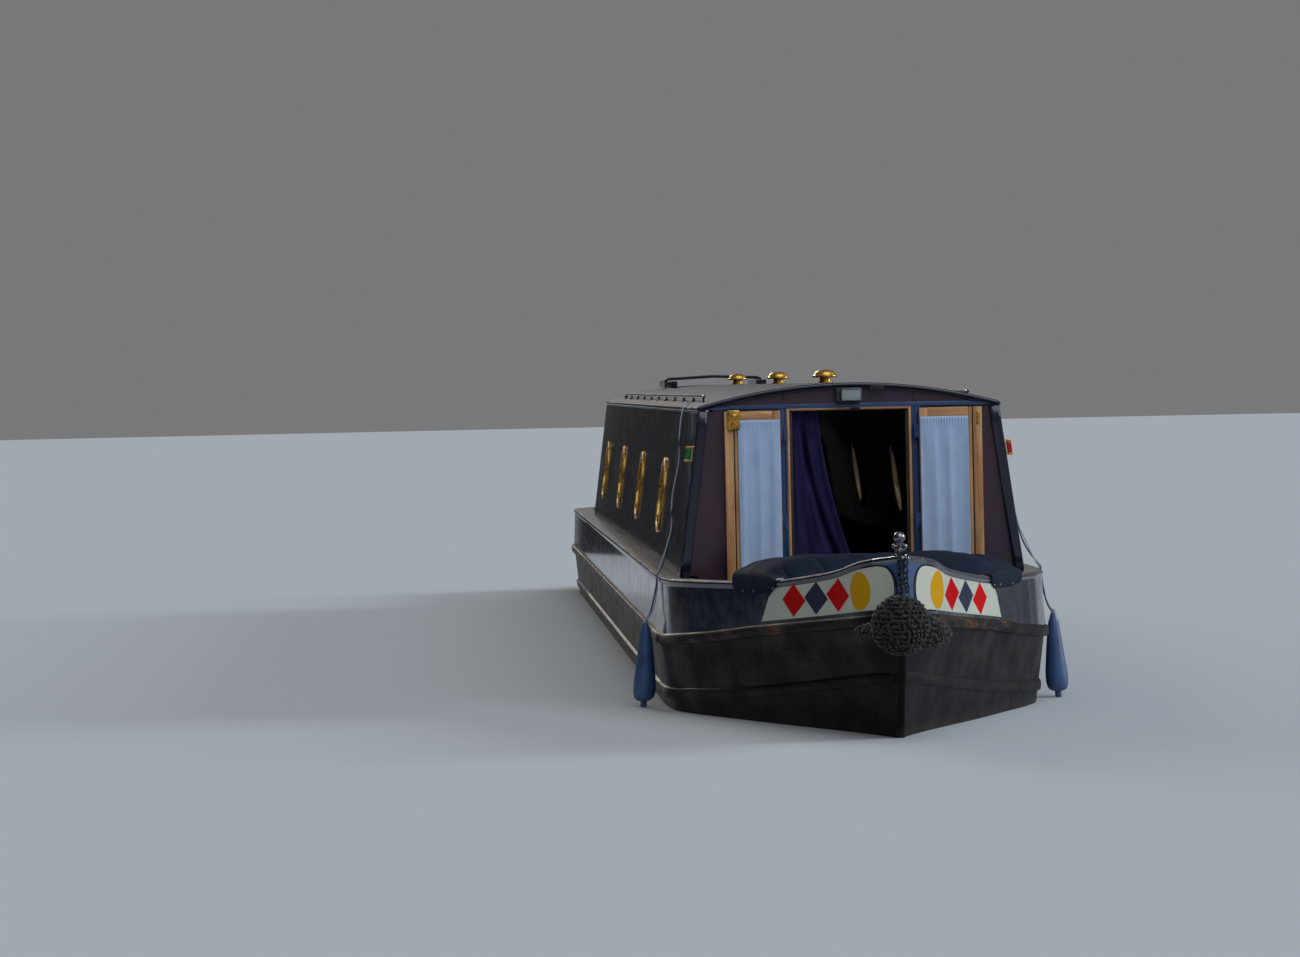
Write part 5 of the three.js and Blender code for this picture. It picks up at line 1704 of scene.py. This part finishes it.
def makeTunnelLamp():
    back = frontY - 0.0203
    front = back - tunnelLamp["depth"]
    x0, x1 = tunnelLamp["x"]
    z0, z1 = tunnelLamp["z"]
    shape = Shape()
    shape.box(place(x0, front + 0.022, z0), place(x1, back, z1), 0.008)
    shape.box(place(x0 + 0.022, front + 0.006, z0 + 0.001), place(x1, front + 0.024, z1 - 0.001), 0.006)
    # Bright bezel round a ribbed lens, with a reflector behind it
    left, right, low, high = x0 + 0.032, x1 - 0.006, z0 + 0.010, z1 - 0.010
    edge, bezel, ribCount = 0.004, (0.0, 0.012), 12
    bars = [(left - edge, right + edge, low - edge, low, bezel, 0.0012, 1),
            (left - edge, right + edge, high, high + edge, bezel, 0.0012, 1),
            (left - edge, left, low, high, bezel, 0.0012, 1),
            (right, right + edge, low, high, bezel, 0.0012, 1),
            (left, right, low, high, (0.0035, 0.0065), 0.001, 2),
            (left, right, low, high, (0.0085, 0.0095), 0.0, 1)]
    ribs = [left + (right - left) * (k + 0.5) / ribCount for k in range(ribCount)]
    ribs = [(x - 0.0012, x + 0.0012, low + 0.001, high - 0.001, (0.0024, 0.0040), 0.0005, 2) for x in ribs]
    middle = place((left + right) / 2, front + 0.0088, (low + high) / 2)
    bulb = [(0, 0), (0.0175, 0), (0.015, 0.0022), (0.008, 0.0032), (0, 0.0035)]
    for group in (bars, ribs):
        for ax, bx, az, bz, (ay, by), cut, mark in group:
            shape.box(place(ax, front + ay, az), place(bx, front + by, bz), cut, mark)
        if group is bars:
            points, faces = latheParts(bulb, (0, 0, 0), (0, -1, 0), 24)
            shape.add([middle + Vector((p.x * 1.25, p.y, p.z)) for p in points], faces, 3)
    for z in (z0 + 0.018, z1 - 0.018):
        screw = [(0, 0), (0.004, 0), (0.0038, 0.0015), (0, 0.002)]
        shape.turn(screw, place(x0 + 0.011, front + 0.022, z), (0, -1, 0), 12, mark=1)
    shape.finish("tunnelLamp", "rubber steel lampGlass whiteLine", "hull", "bare_steel", ["tunnel_lamp"],
                 angle=35)
    shape = Shape()
    y = frontY - 0.0199
    shape.box(place(0.112, y - 0.026, 2.226), place(0.190, y + 0.004, 2.2545), 0.0015)
    shape.finish("cableGland", "rubber", angle=35)


# Navigation lamps. Their boxes are built as sizes outwards, aft and up, and then lean with the cabin side
def makeSideLamps():
    z0, z1 = 1.856, 1.943
    boxes = (((0, 0.006), (0.010, 0.080), (z0, z1), 0.002, 0),
             ((0.0055, 0.010), (0.014, 0.076), (z0 + 0.003, z1 - 0.003), 0.002, 1),
             ((0.0095, 0.0395), (0.018, 0.072), (z0 + 0.012, z1 - 0.012), 0.009, 2),
             ((0.0095, 0.0405), (0.016, 0.074), (z1 - 0.013, z1 - 0.002), 0.003, 0),
             ((0.0095, 0.0405), (0.016, 0.074), (z0 + 0.002, z0 + 0.013), 0.003, 0),
             ((0.012, 0.030), (0.040, 0.050), (z0 + 0.020, z1 - 0.020), 0.003, 1))
    for name, side, lens in (("port", 1, "redLens"), ("starboard", -1, "greenLens")):
        shape = Shape()
        for outs, ys, zs, cut, mark in boxes:
            shape.box((outs[0], frontY + ys[0], zs[0]), (outs[1], frontY + ys[1], zs[1]), cut, mark)
        shape.points = [place(side * (cabinHalf(p.z) + 0.0005 + p.x), p.y, p.z) for p in shape.points]
        shape.finish(f"sideLamp.{name}", f"brass cream {lens}", "hull",
                     "red_lens" if side > 0 else "green_lens", [f"nav_lamp_{name}"], angle=35)


portholes = {"ys": (5.23, 7.96, 10.69, 13.42), "z": 1.62, "hole": 0.2, "bolts": 10}


# A closed profile turned about a porthole's axis, without end faces
def addHoop(shape, profile, centre, axis):
    points, faces = latheParts(profile + [profile[0]], centre, axis, 72)
    shape.add(points, [f for f in faces if len(f) == 4])


def makePortholes():
    lean = (cabin["baseHalf"] - cabin["topHalf"]) / (cabin["eavesZ"] - cabin["sideDeckZ"])
    studs = makeStudTree("portholeBolts", "brass")
    hole, bolts = portholes["hole"], portholes["bolts"]
    rim = [(hole - 0.014, 0.0), (hole - 0.014, 0.009), (hole - 0.010, 0.0125), (hole - 0.002, 0.0135),
           (hole + 0.016, 0.0115), (hole + 0.023, 0.008), (hole + 0.025, 0.003), (hole + 0.025, 0.0008),
           (hole - 0.0006, 0.0008), (hole - 0.0006, -0.030), (hole - 0.014, -0.030)]
    pane = [(0, -0.003), (hole - 0.0142, -0.003), (hole - 0.0142, 0.002), (0, 0.002)]
    liner = [(hole - 0.0045, -0.0305), (hole - 0.0045, -0.072), (hole - 0.001, -0.0760),
             (hole + 0.032, -0.0760), (hole + 0.038, -0.072), (hole + 0.038, -0.0505),
             (hole - 0.0006, -0.0505), (hole - 0.0006, -0.0305)]
    for name, side in sides.items():
        rims, panes, liners = Shape(), Shape(), Shape()
        spots = []
        out = Vector((side, 0, lean)).normalized()
        along = Vector((0, 1, 0))
        up = out.cross(along) * side
        for y in portholes["ys"]:
            centre = place(side * cabinHalf(portholes["z"]), y, portholes["z"])
            addHoop(rims, rim, centre, out)
            panes.turn(pane, centre, out, 64)
            addHoop(liners, liner, centre, out)
            for k in range(bolts):
                angle = 2 * pi * (k + 0.5) / bolts
                reach = hole + 0.010
                spot = centre + along * reach * cos(angle) + up * reach * sin(angle) + out * 0.0125
                spots.append((spot, out, along))
        absorb(rims, growOn("portholeBolts", spots, studs, {"Head": 0.0062, "Dome": 0.5}))
        rims.finish(f"portholeRims.{name}", "brass", "hull", "brass", merge=1e-6)
        panes.finish(f"portholePanes.{name}", "paneGlass", merge=1e-6, angle=30)
        liners.finish(f"portholeLiners.{name}", "woodRing", "hull", "varnished_wood", merge=1e-6)


makeVents()
makeTunnelLamp()
makeSideLamps()
makePortholes()
print("roof and side fittings ready")


# Steel decks and the hull's straight length
def makeHullParts():
    plain = (("foredeck", 0.004, "deck", "foredeckPlate", "navy_paint"),
             ("locker_bulkhead", 0.003, "navy", "lockerBulkhead", "navy_paint"),
             ("aft_deck", 0.004, "deck", "aftDeckPlate", "roof_paint"),
             ("cabin_floor", 0.003, "boards", "cabinFloor", "floor_boards"),
             ("base_plate", 0.004, "blacking", "basePlate", "blacking"),
             ("skeg", 0.006, "blacking", "skegBar", "blacking"),
             ("uxter_plate", 0.003, "blacking", "uxterPlate", "blacking"),
             ("hull_side_port", 0.0, "blacking", "hullSide.port", "blacking"),
             ("hull_side_starboard", 0.0, "blacking", "hullSide.starboard", "blacking"),
             ("swim_port", 0.003, "blacking", "swimPlate.port", "blacking"),
             ("swim_starboard", 0.003, "blacking", "swimPlate.starboard", "blacking"))
    for name, width, finish, pieceName, slot in plain:
        softened(name, width, finish, pieceName)
    for name, t in (("port", -9), ("starboard", 9)):
        ring = [place(*p) for p in topsideRing(t)]
        fromY = place(0, 3.2, 0).y + hull["gap"]
        long = hull["straightY"] - 3.2 - 2 * hull["gap"]
        rings = [[Vector((p.x, fromY + long * k / 8, p.z)) for p in ring] for k in range(9)]
        shape = Shape()
        shape.loft(rings)
        shape.finish(f"sideTopside.{name}", "navy", "hull", "navy_paint", [f"topside_{name}"], merge=1e-6,
                     angle=50)
    # Treads of the aft deck, two to a side of the rudder stock
    shape = Shape()
    for side in (1, -1):
        for y0, y1, reach in ((14.98, 15.70, 0.84), (15.76, 16.48, 0.80)):
            shape.sideBox(side, (0.012, reach), (y0, y1), (1.186, 1.1945), 0.002)
            for y in (y0 + 0.05, y1 - 0.05):
                ringPull = [(0.018, 0.0085), (0.018, 0.011), (0.024, 0.011), (0.024, 0.0085)]
                shape.turn(ringPull, place(side * (reach - 0.07), y, 1.186), steps=20, mark=1)
    shape.finish("deckTreads", "deck brass", angle=30)


wellBoards = {"z": (0.640, 0.680), "y": (1.291, 2.5997), "seam": 0.0016, "inset": 0.058, "count": 15}


# Boards of the well run aft, their front ends cut to the bow
def makeWellFloor():
    (low, high), (fromY, toY), seam, inset, count = wellBoards.values()
    halfs, ys = zip(*(shellAt(stationAt(t), low) for t in np.linspace(3, 9, 121)))
    reach = float(np.interp(toY, ys, halfs)) - inset
    width = 2 * reach / count
    shape = Shape()
    for k in range(count):
        x0 = -reach + width * k + seam / 2
        x1 = x0 + width - seam
        ends = [max(fromY, float(np.interp(abs(x) + inset, halfs, ys))) for x in (x0, x1)]
        front = [place(x, y, z) for x, y in zip((x0, x1), ends) for z in (low, high)]
        back = [place(x, toY, z) for x in (x0, x1) for z in (low, high)]
        quad = [[ring[0], ring[1], ring[3], ring[2]] for ring in (front, back)]
        shape.loft(quad, uvs=[(p.y, p.x) for ring in quad for p in ring])
    floor = bevelled(tidyMesh(shape.piece("wellBoards", "boards", smooth=False), 0), 0.0015, 1)
    settle(floor, "hull", ["well_floor"])


# The lid over the bow locker lifts on two hinges at its front edge
def makeLockerLid():
    softened("locker_lid", 0.005, "deck", "lockerLid", segments=3)
    shape = Shape()
    hingeY, hingeZ = 0.606, 1.35128
    for x in (-0.13, 0.13):
        line = [place(x + k, hingeY, hingeZ) for k in (-0.024, 0, 0.024)]
        shape.tube(line, 0.0055, 12)
        z = foredeckZ(0.66) + 0.044
        shape.box(place(x - 0.022, 0.624, z - 0.006), place(x + 0.022, 0.700, z + 0.0056), 0.0015)
    z = foredeckZ(1.01) + 0.0445
    ring = [(0.018, 0), (0.018, 0.004), (0.026, 0.006), (0.034, 0.004), (0.034, 0)]
    shape.turn(ring, place(0, 1.01, z - 0.002), steps=28, mark=1)
    line = [place(0.022 * cos(a), 1.01 + 0.022 * sin(a), z + 0.004) for a in np.linspace(0, 6.1, 28)]
    shape.tube(line, 0.003, 8, mark=1)
    shape.finish("lockerFittings", "darkSteel brass", "locker_lid", "bare_steel", angle=30)


# The hatch slides forward over the roof on brass runners
def makeHatch():
    softened("hatch", 0.005, "navy", "slidingHatch", segments=3)
    shape = Shape()
    for side in (1, -1):
        shape.sideBox(side, (0.3665, 0.3845), (13.965, 14.795), (2.2525, 2.2565), 0.001)
    handle = ((-0.09, 0), (-0.085, 0.018), (-0.04, 0.019), (0.04, 0.019), (0.085, 0.018), (0.09, 0))
    shape.tube(smoothLine([place(x, 14.78 + out, 2.335) for x, out in handle], 30), 0.006)
    shape.finish("hatchBrass", "brass", "hatch", "brass")


rearDoor = {"pinX": 0.3525, "pinY": 14.844, "low": 0.010, "high": 0.330, "half": 0.0175, "bottom": 1.206,
            "top": 2.124, "windowFrom": 1.56}


def makeRearDoors():
    pinX, pinY, low, high, half, bottom, top, windowFrom = rearDoor.values()
    inner, outer = pinY - half, pinY + half
    for name, side in sides.items():
        body = f"rear_door_{name}"
        shape = Shape()
        frameWidth = 0.045
        left, right = low + frameWidth, high - frameWidth
        for xs in ((low, left), (right, high)):
            shape.sideBox(side, xs, (inner, outer), (bottom, top))
        for zs in ((top - 0.06, top), (windowFrom - 0.05, windowFrom), (bottom, bottom + 0.05)):
            shape.sideBox(side, (left, right), (inner + 0.002, outer - 0.001), zs)
        shape.sideBox(side, (left - 0.002, right + 0.002), (inner + 0.009, outer - 0.009),
                      (bottom + 0.048, windowFrom - 0.048), 0.002, 1)
        shape.sideBox(side, (left - 0.003, right + 0.003), (pinY - 0.002, pinY + 0.002),
                      (windowFrom - 0.003, top - 0.057), 0, 2)
        # Varnished lining on the inner face
        lining = (inner - 0.0035, inner + 0.001), (bottom + 0.01, top - 0.01), 0.001, 3
        for xs in ((low + 0.004, low + 0.040), (high - 0.040, high - 0.004)):
            shape.sideBox(side, xs, *lining)
        shape.finish(f"rearDoor.{name}", "navy maroon paneGlass woodUp", body, None, [f"rear_door_{name}"],
                     angle=30)
        shape = Shape()
        for z in (1.32, 2.02):
            shape.turn(hingePin, place(side * pinX, pinY, z - 0.04), steps=14)
            leaf = (high - 0.02, pinX), (pinY - 0.0015, pinY + 0.002), (z - 0.036, z + 0.036)
            shape.sideBox(side, *leaf, 0.0008)
        if side > 0:
            plate = (low + 0.006, low + 0.038), (outer - 0.0004, outer + 0.003), (1.500, 1.620)
            shape.sideBox(side, *plate, 0.0015)
            knob = [(0, 0), (0.010, 0), (0.008, 0.012), (0.018, 0.018), (0.022, 0.028), (0.016, 0.038),
                    (0, 0.040)]
            shape.turn(knob, place(side * (low + 0.022), outer + 0.002, 1.575), (0, 1, 0), 24)
        shape.finish(f"rearDoorBrass.{name}", "brass", body, "brass", angle=35)


# Propeller: three blades of seven sections each on a hub with a locked nut
propeller = {"y": 16.620, "z": 0.265, "blades": 3,
             "sections": [(0.026, 0.066, 62, 0.0085), (0.060, 0.098, 49, 0.0075), (0.095, 0.122, 39, 0.0062),
                          (0.130, 0.136, 31, 0.0050), (0.160, 0.130, 27, 0.0040), (0.184, 0.096, 24, 0.0030),
                          (0.198, 0.040, 22, 0.0020)]}


def makePropeller():
    shape = Shape()
    at = place(0, propeller["y"], propeller["z"])
    hub = [(0, -0.050), (0.026, -0.050), (0.0325, -0.044), (0.034, -0.034), (0.034, 0.030), (0.030, 0.040),
           (0.020, 0.043), (0.020, 0.054), (0.012, 0.056), (0.010, 0.060), (0, 0.060)]
    shape.turn(hub, at, (0, 1, 0), 36)
    steps = 14
    for blade in range(propeller["blades"]):
        turn = Matrix.Rotation(2 * pi * blade / propeller["blades"], 4, "Y")
        rings = []
        for radius, chord, pitch, thick in propeller["sections"]:
            a = radians(pitch)
            along, across = Vector((cos(a), sin(a), 0)), Vector((-sin(a), cos(a), 0))
            ring = []
            for k in range(2 * steps):
                angle = pi * k / steps
                u, v = cos(angle), sin(angle)
                skewed = 0.10 * chord * (radius / 0.198) ** 2
                bow = 0.05 * chord * (1 - u * u)
                aside = 0.5 * thick * v * 2 * (0.62 + 0.2 * u) + bow
                flat = along * (0.5 * chord * u - skewed * 0.3) + across * aside
                ring.append(at + turn @ Vector((flat.x, flat.y, radius)))
            rings.append(ring)
        shape.loft(rings)
    shape.finish("propellerScrew", "brass", "propeller", "brass", ["propeller"], angle=45)
    shape = Shape()
    shape.tube([at + Vector((0, y, 0)) for y in (-0.16, -0.10, -0.048)], 0.016, 20)
    shape.finish("propellerShaft", "steel", "propeller", "bare_steel", merge=None)
    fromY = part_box("stern_tube")[0].y
    bearing = [(0.018, 0), (0.018, 0.1598), (0.034, 0.1598), (0.037, 0.157), (0.037, 0.046), (0.0415, 0.044),
               (0.042, 0.041), (0.042, 0), (0.018, 0)]
    shape = Shape()
    around = 32
    middle = Vector((0, fromY, propeller["z"]))
    points = [middle + Vector((r * cos(2 * pi * k / around), d, r * sin(2 * pi * k / around)))
              for r, d in bearing[:-1] for k in range(around)]
    shape.add(points, ringFaces(len(bearing) - 1, around, closedPath=True))
    shape.finish("sternTube", "steel", "hull", "bare_steel", ["stern_tube"], merge=1e-6, angle=35)


steering = {"y": 16.950, "bar": 0.020,
            "path": [(16.950, 1.3303), (16.950, 1.480), (16.930, 1.780), (16.820, 1.960), (16.530, 2.030),
                     (16.150, 2.058), (15.750, 2.076)]}


def makeSteering():
    shape = Shape()
    stock = [(0, 0.046), (0.0205, 0.046), (0.022, 0.048), (0.022, 0.50), (0.022, 1.20), (0.022, 1.328),
             (0.0205, 1.330), (0, 1.330)]
    shape.turn(stock, place(0, steering["y"], 0), steps=32)
    outline = [(16.815, 0.060), (17.305, 0.060), (17.330, 0.085), (17.330, 0.380), (17.315, 0.425),
               (17.280, 0.452), (17.230, 0.465), (16.830, 0.465), (16.800, 0.450), (16.790, 0.420),
               (16.790, 0.085)]
    shape.loft([[place(x, y + inward * (1 if y < 17.06 else -1), z + inward * (1 if z < 0.26 else -1))
                 for y, z in outline]
                for x, inward in ((-0.008, 0.003), (-0.005, 0), (0.005, 0), (0.008, 0.003))])
    for z in (0.14, 0.38):
        shape.sideBox(1, (-0.012, 0.012), (16.955, 17.20), (z - 0.02, z + 0.02), 0.003)
    shape.finish("rudderBlade", "blacking", "rudder", "bare_steel", ["rudder"], angle=35)
    # Swan neck with a painted bar and a varnished grip
    line = smoothLine([place(0, y, z) for y, z in steering["path"]], 120)
    grip = 30
    shape = Shape()
    shape.tube(line[:-grip], steering["bar"], 20)
    collar = [(0, 0), (0.024, 0), (0.026, 0.003), (0.026, 0.012), (0.023, 0.016), (0, 0.016)]
    for index in (4, 70, 120 - grip):
        ahead = (line[index] - line[index - 1]).normalized()
        shape.turn(collar, line[index] - ahead * 0.008, ahead, 28, mark=1)
    shape.finish("swanNeck", "maroon brass", "rudder", "brass", ["tiller"], angle=35)
    shape = Shape()
    radii = [0.0165 + 0.0035 * sin(pi * min(1, k / grip * 1.15)) for k in range(grip + 1)]
    shape.tube(line[-grip - 1:], radii, 20)
    shape.finish("tillerGrip", "woodRing", "rudder", "varnished_wood")


# Diesel engine with its gearbox, inside the plain block that stands for it
def makeEngine():
    shape = Shape()
    boxes = ((-0.150, 0.150, 14.98, 15.40, 0.330, 0.620, 0.012, 0),
             (-0.120, 0.120, 15.00, 15.38, 0.2306, 0.335, 0.02, 0),
             (-0.125, 0.125, 14.99, 15.39, 0.620, 0.705, 0.010, 0),
             (-0.095, 0.095, 15.01, 15.37, 0.705, 0.760, 0.018, 1),
             (-0.110, 0.110, 15.46, 15.598, 0.300, 0.520, 0.020, 0),
             (0.150, 0.225, 15.05, 15.33, 0.520, 0.600, 0.016, 1),
             (-0.235, -0.150, 15.02, 15.30, 0.560, 0.680, 0.02, 1))
    for x0, x1, y0, y1, z0, z1, cut, mark in boxes:
        shape.box(place(x0, y0, z0), place(x1, y1, z1), cut, mark)
    for x in (-0.22, 0.22):
        shape.box(place(x - 0.030, 14.86, 0.2306), place(x + 0.030, 15.59, 0.300), 0.005, 2)
        for y in (15.02, 15.34):
            shape.box(place(x - 0.034, y - 0.03, 0.300), place(x + 0.034, y + 0.03, 0.330), 0.006, 1)
            inward = -1 if x > 0 else 1
            x0, x1 = sorted((x, x + inward * 0.08))
            shape.box(place(x0, y - 0.02, 0.330), place(x1, y + 0.02, 0.345), 0.003)
    drums = ((0, 15.40, 0.450, 0.165, 0.060, 0), (0, 14.935, 0.360, 0.070, 0.045, 2),
             (0, 14.935, 0.600, 0.062, 0.030, 2), (0.155, 14.925, 0.610, 0.034, 0.036, 2),
             (0.155, 14.960, 0.610, 0.052, 0.120, 2), (0, 15.555, 0.360, 0.042, 0.044, 2),
             (-0.19, 15.36, 0.460, 0.038, 0.090, 2))
    for x, y, z, radius, long, mark in drums:
        profile = [(0, 0), (radius - 0.006, 0), (radius, 0.006), (radius, long - 0.006),
                   (radius - 0.006, long), (0, long)]
        shape.turn(profile, place(x, y, z), (0, 1, 0), 30, mark)
    pulleys = ((0.155, 0.610, 0.036, -0.9, 1.3, 7), (0, 0.600, 0.064, 1.6, 3.1, 7),
               (0, 0.360, 0.072, 3.2, 5.6, 8))
    belt = [place(x + radius * cos(a), 14.945, z + radius * sin(a))
            for x, z, radius, low, high, steps in pulleys for a in np.linspace(low, high, steps)]
    shape.tube(belt + [belt[0]], 0.005, 8, mark=2)
    for k in range(4):
        line = smoothLine([place(-0.095, 15.05 + 0.08 * k, 0.735), place(-0.15, 15.05 + 0.08 * k, 0.77),
                           place(-0.200, 15.06 + 0.07 * k, 0.73), place(-0.205, 15.07 + 0.06 * k, 0.67)], 14)
        shape.tube(line, 0.005, 8, mark=2)
    cap = [(0, 0), (0.024, 0), (0.026, 0.004), (0.026, 0.014), (0.022, 0.018), (0, 0.018)]
    shape.turn(cap, place(0, 15.10, 0.758), steps=18, mark=2)
    shape.finish("dieselEngine", "engine darkSteel rubber", "hull", "engine_paint", ["engine"], angle=35)


makeHullParts()
makeWellFloor()
makeLockerLid()
makeHatch()
makeRearDoors()
makePropeller()
makeSteering()
makeEngine()
print("decks and stern gear ready")


# Stage and light: a pale floor at the waterline, soft light from port, a dark flag to starboard and astern
studio = {"floorRadius": 160,
          "hole": [(0.955, 2.56), (0.985, 3.2), (0.985, 14.9),
                   (-0.985, 14.9), (-0.985, 3.2), (-0.955, 2.56)],
          "worldColour": (0.84, 0.86, 0.88, 1), "worldStrength": 0.22,
          "cards": [(-0.60, -0.46), (-0.42, -0.36), (-0.33, -0.22),
                    (-0.12, 0.02), (0.05, 0.20), (0.27, 0.31)],
          "suns": {"sunLight": ((0.93, 0.08, 0.36), 1.75, 24, (0.88, 0.94, 1.0)),
                   "rimLight": ((-0.28, 0.90, 0.33), 1.2, 22, (1.0, 0.92, 0.80)),
                   "skyLight": ((0.28, -0.56, 0.78), 1.5, 60, (0.86, 0.93, 1.0))}}


def makeStage():
    steps = 96
    ring = [Vector((studio["floorRadius"] * cos(2 * pi * k / steps),
                    studio["floorRadius"] * sin(2 * pi * k / steps), waterZ)) for k in range(steps)]
    # The floor is open inside the hull, so that the cabin keeps its own floor below the waterline
    hole = [place(x, y, waterZ) for x, y in studio["hole"]]
    faces = [tri if normal([(ring + hole)[i] for i in tri]).z > 0 else tri[::-1]
             for tri in tessellate_polygon([ring, hole])]
    pale = makePlain("studioFloor", srgb(178, 182, 187), 1.0, 0)
    dark = makePlain("darkFlag", (0.01, 0.01, 0.012, 1), 1.0)
    floor = newPiece("studioFloor", ring + hole, faces, [pale], smooth=False)
    legs = [(-9, -16), (-9, 26), (-1.2, 26)]
    corners = [place(x, y, z) for z in (0.55, 9) for x, y in legs]
    flag = newPiece("darkFlag", corners, [(0, 1, 4, 3), (1, 2, 5, 4)], [dark], smooth=False)
    # Dark cards seen only as streaks in the gloss of the port bow
    middle, across = place(3.85, 5.7, 0), Vector((0.80, -0.60, 0))
    corners = [middle + across * s + Vector((0, 0, z)) for low, high in studio["cards"]
               for s, z in ((low, 0.6), (high, 0.6), (high, 1.3), (low, 1.3))]
    cards = newPiece("sideCards", corners, [tuple(range(k, k + 4)) for k in range(0, len(corners), 4)],
                     [dark], smooth=False)
    for card in (flag, cards):
        card.visible_camera = False
        card.visible_diffuse = False
        card.visible_shadow = False
    world = bpy.data.worlds.new("studio")
    world.use_nodes = True
    back = world.node_tree.nodes["Background"]
    back.inputs["Color"].default_value = studio["worldColour"]
    back.inputs["Strength"].default_value = studio["worldStrength"]
    bpy.context.scene.world = world
    for name, (toward, power, spread, colour) in studio["suns"].items():
        sun = bpy.data.lights.new(name, "SUN")
        sun.energy = power
        sun.angle = radians(spread)
        sun.color = colour
        linked(name, sun).matrix_world = Vector(toward).to_track_quat("Z", "Y").to_matrix().to_4x4()


makeStage()
bpy.context.scene.view_settings.view_transform = "Standard"
print("stage ready")

slotFinishes = {"blacking": "blacking", "navy_paint": "navy", "roof_paint": "deck", "maroon_paint": "maroon",
                "varnished_wood": "woodUp", "floor_boards": "boards", "canvas": "canvas",
                "curtain_cloth": "curtain", "purple_cloth": "purple", "tarred_rope": "rope",
                "fender_line": "whiteLine", "blue_vinyl": "vinyl", "brass": "brass", "bare_steel": "steel",
                "engine_paint": "engine", "red_lens": "redLens", "green_lens": "greenLens"}


def dressNodes():
    for part in frame["record"]["subparts"]:
        mesh = nodes[part["node"]].data
        finish = finishes[slotFinishes[part["material_slot"]]]
        if len(mesh.materials) == 0:
            mesh.materials.append(finish)
        for index in range(len(mesh.materials)):
            mesh.materials[index] = finish


dressNodes()
print("nodes dressed")
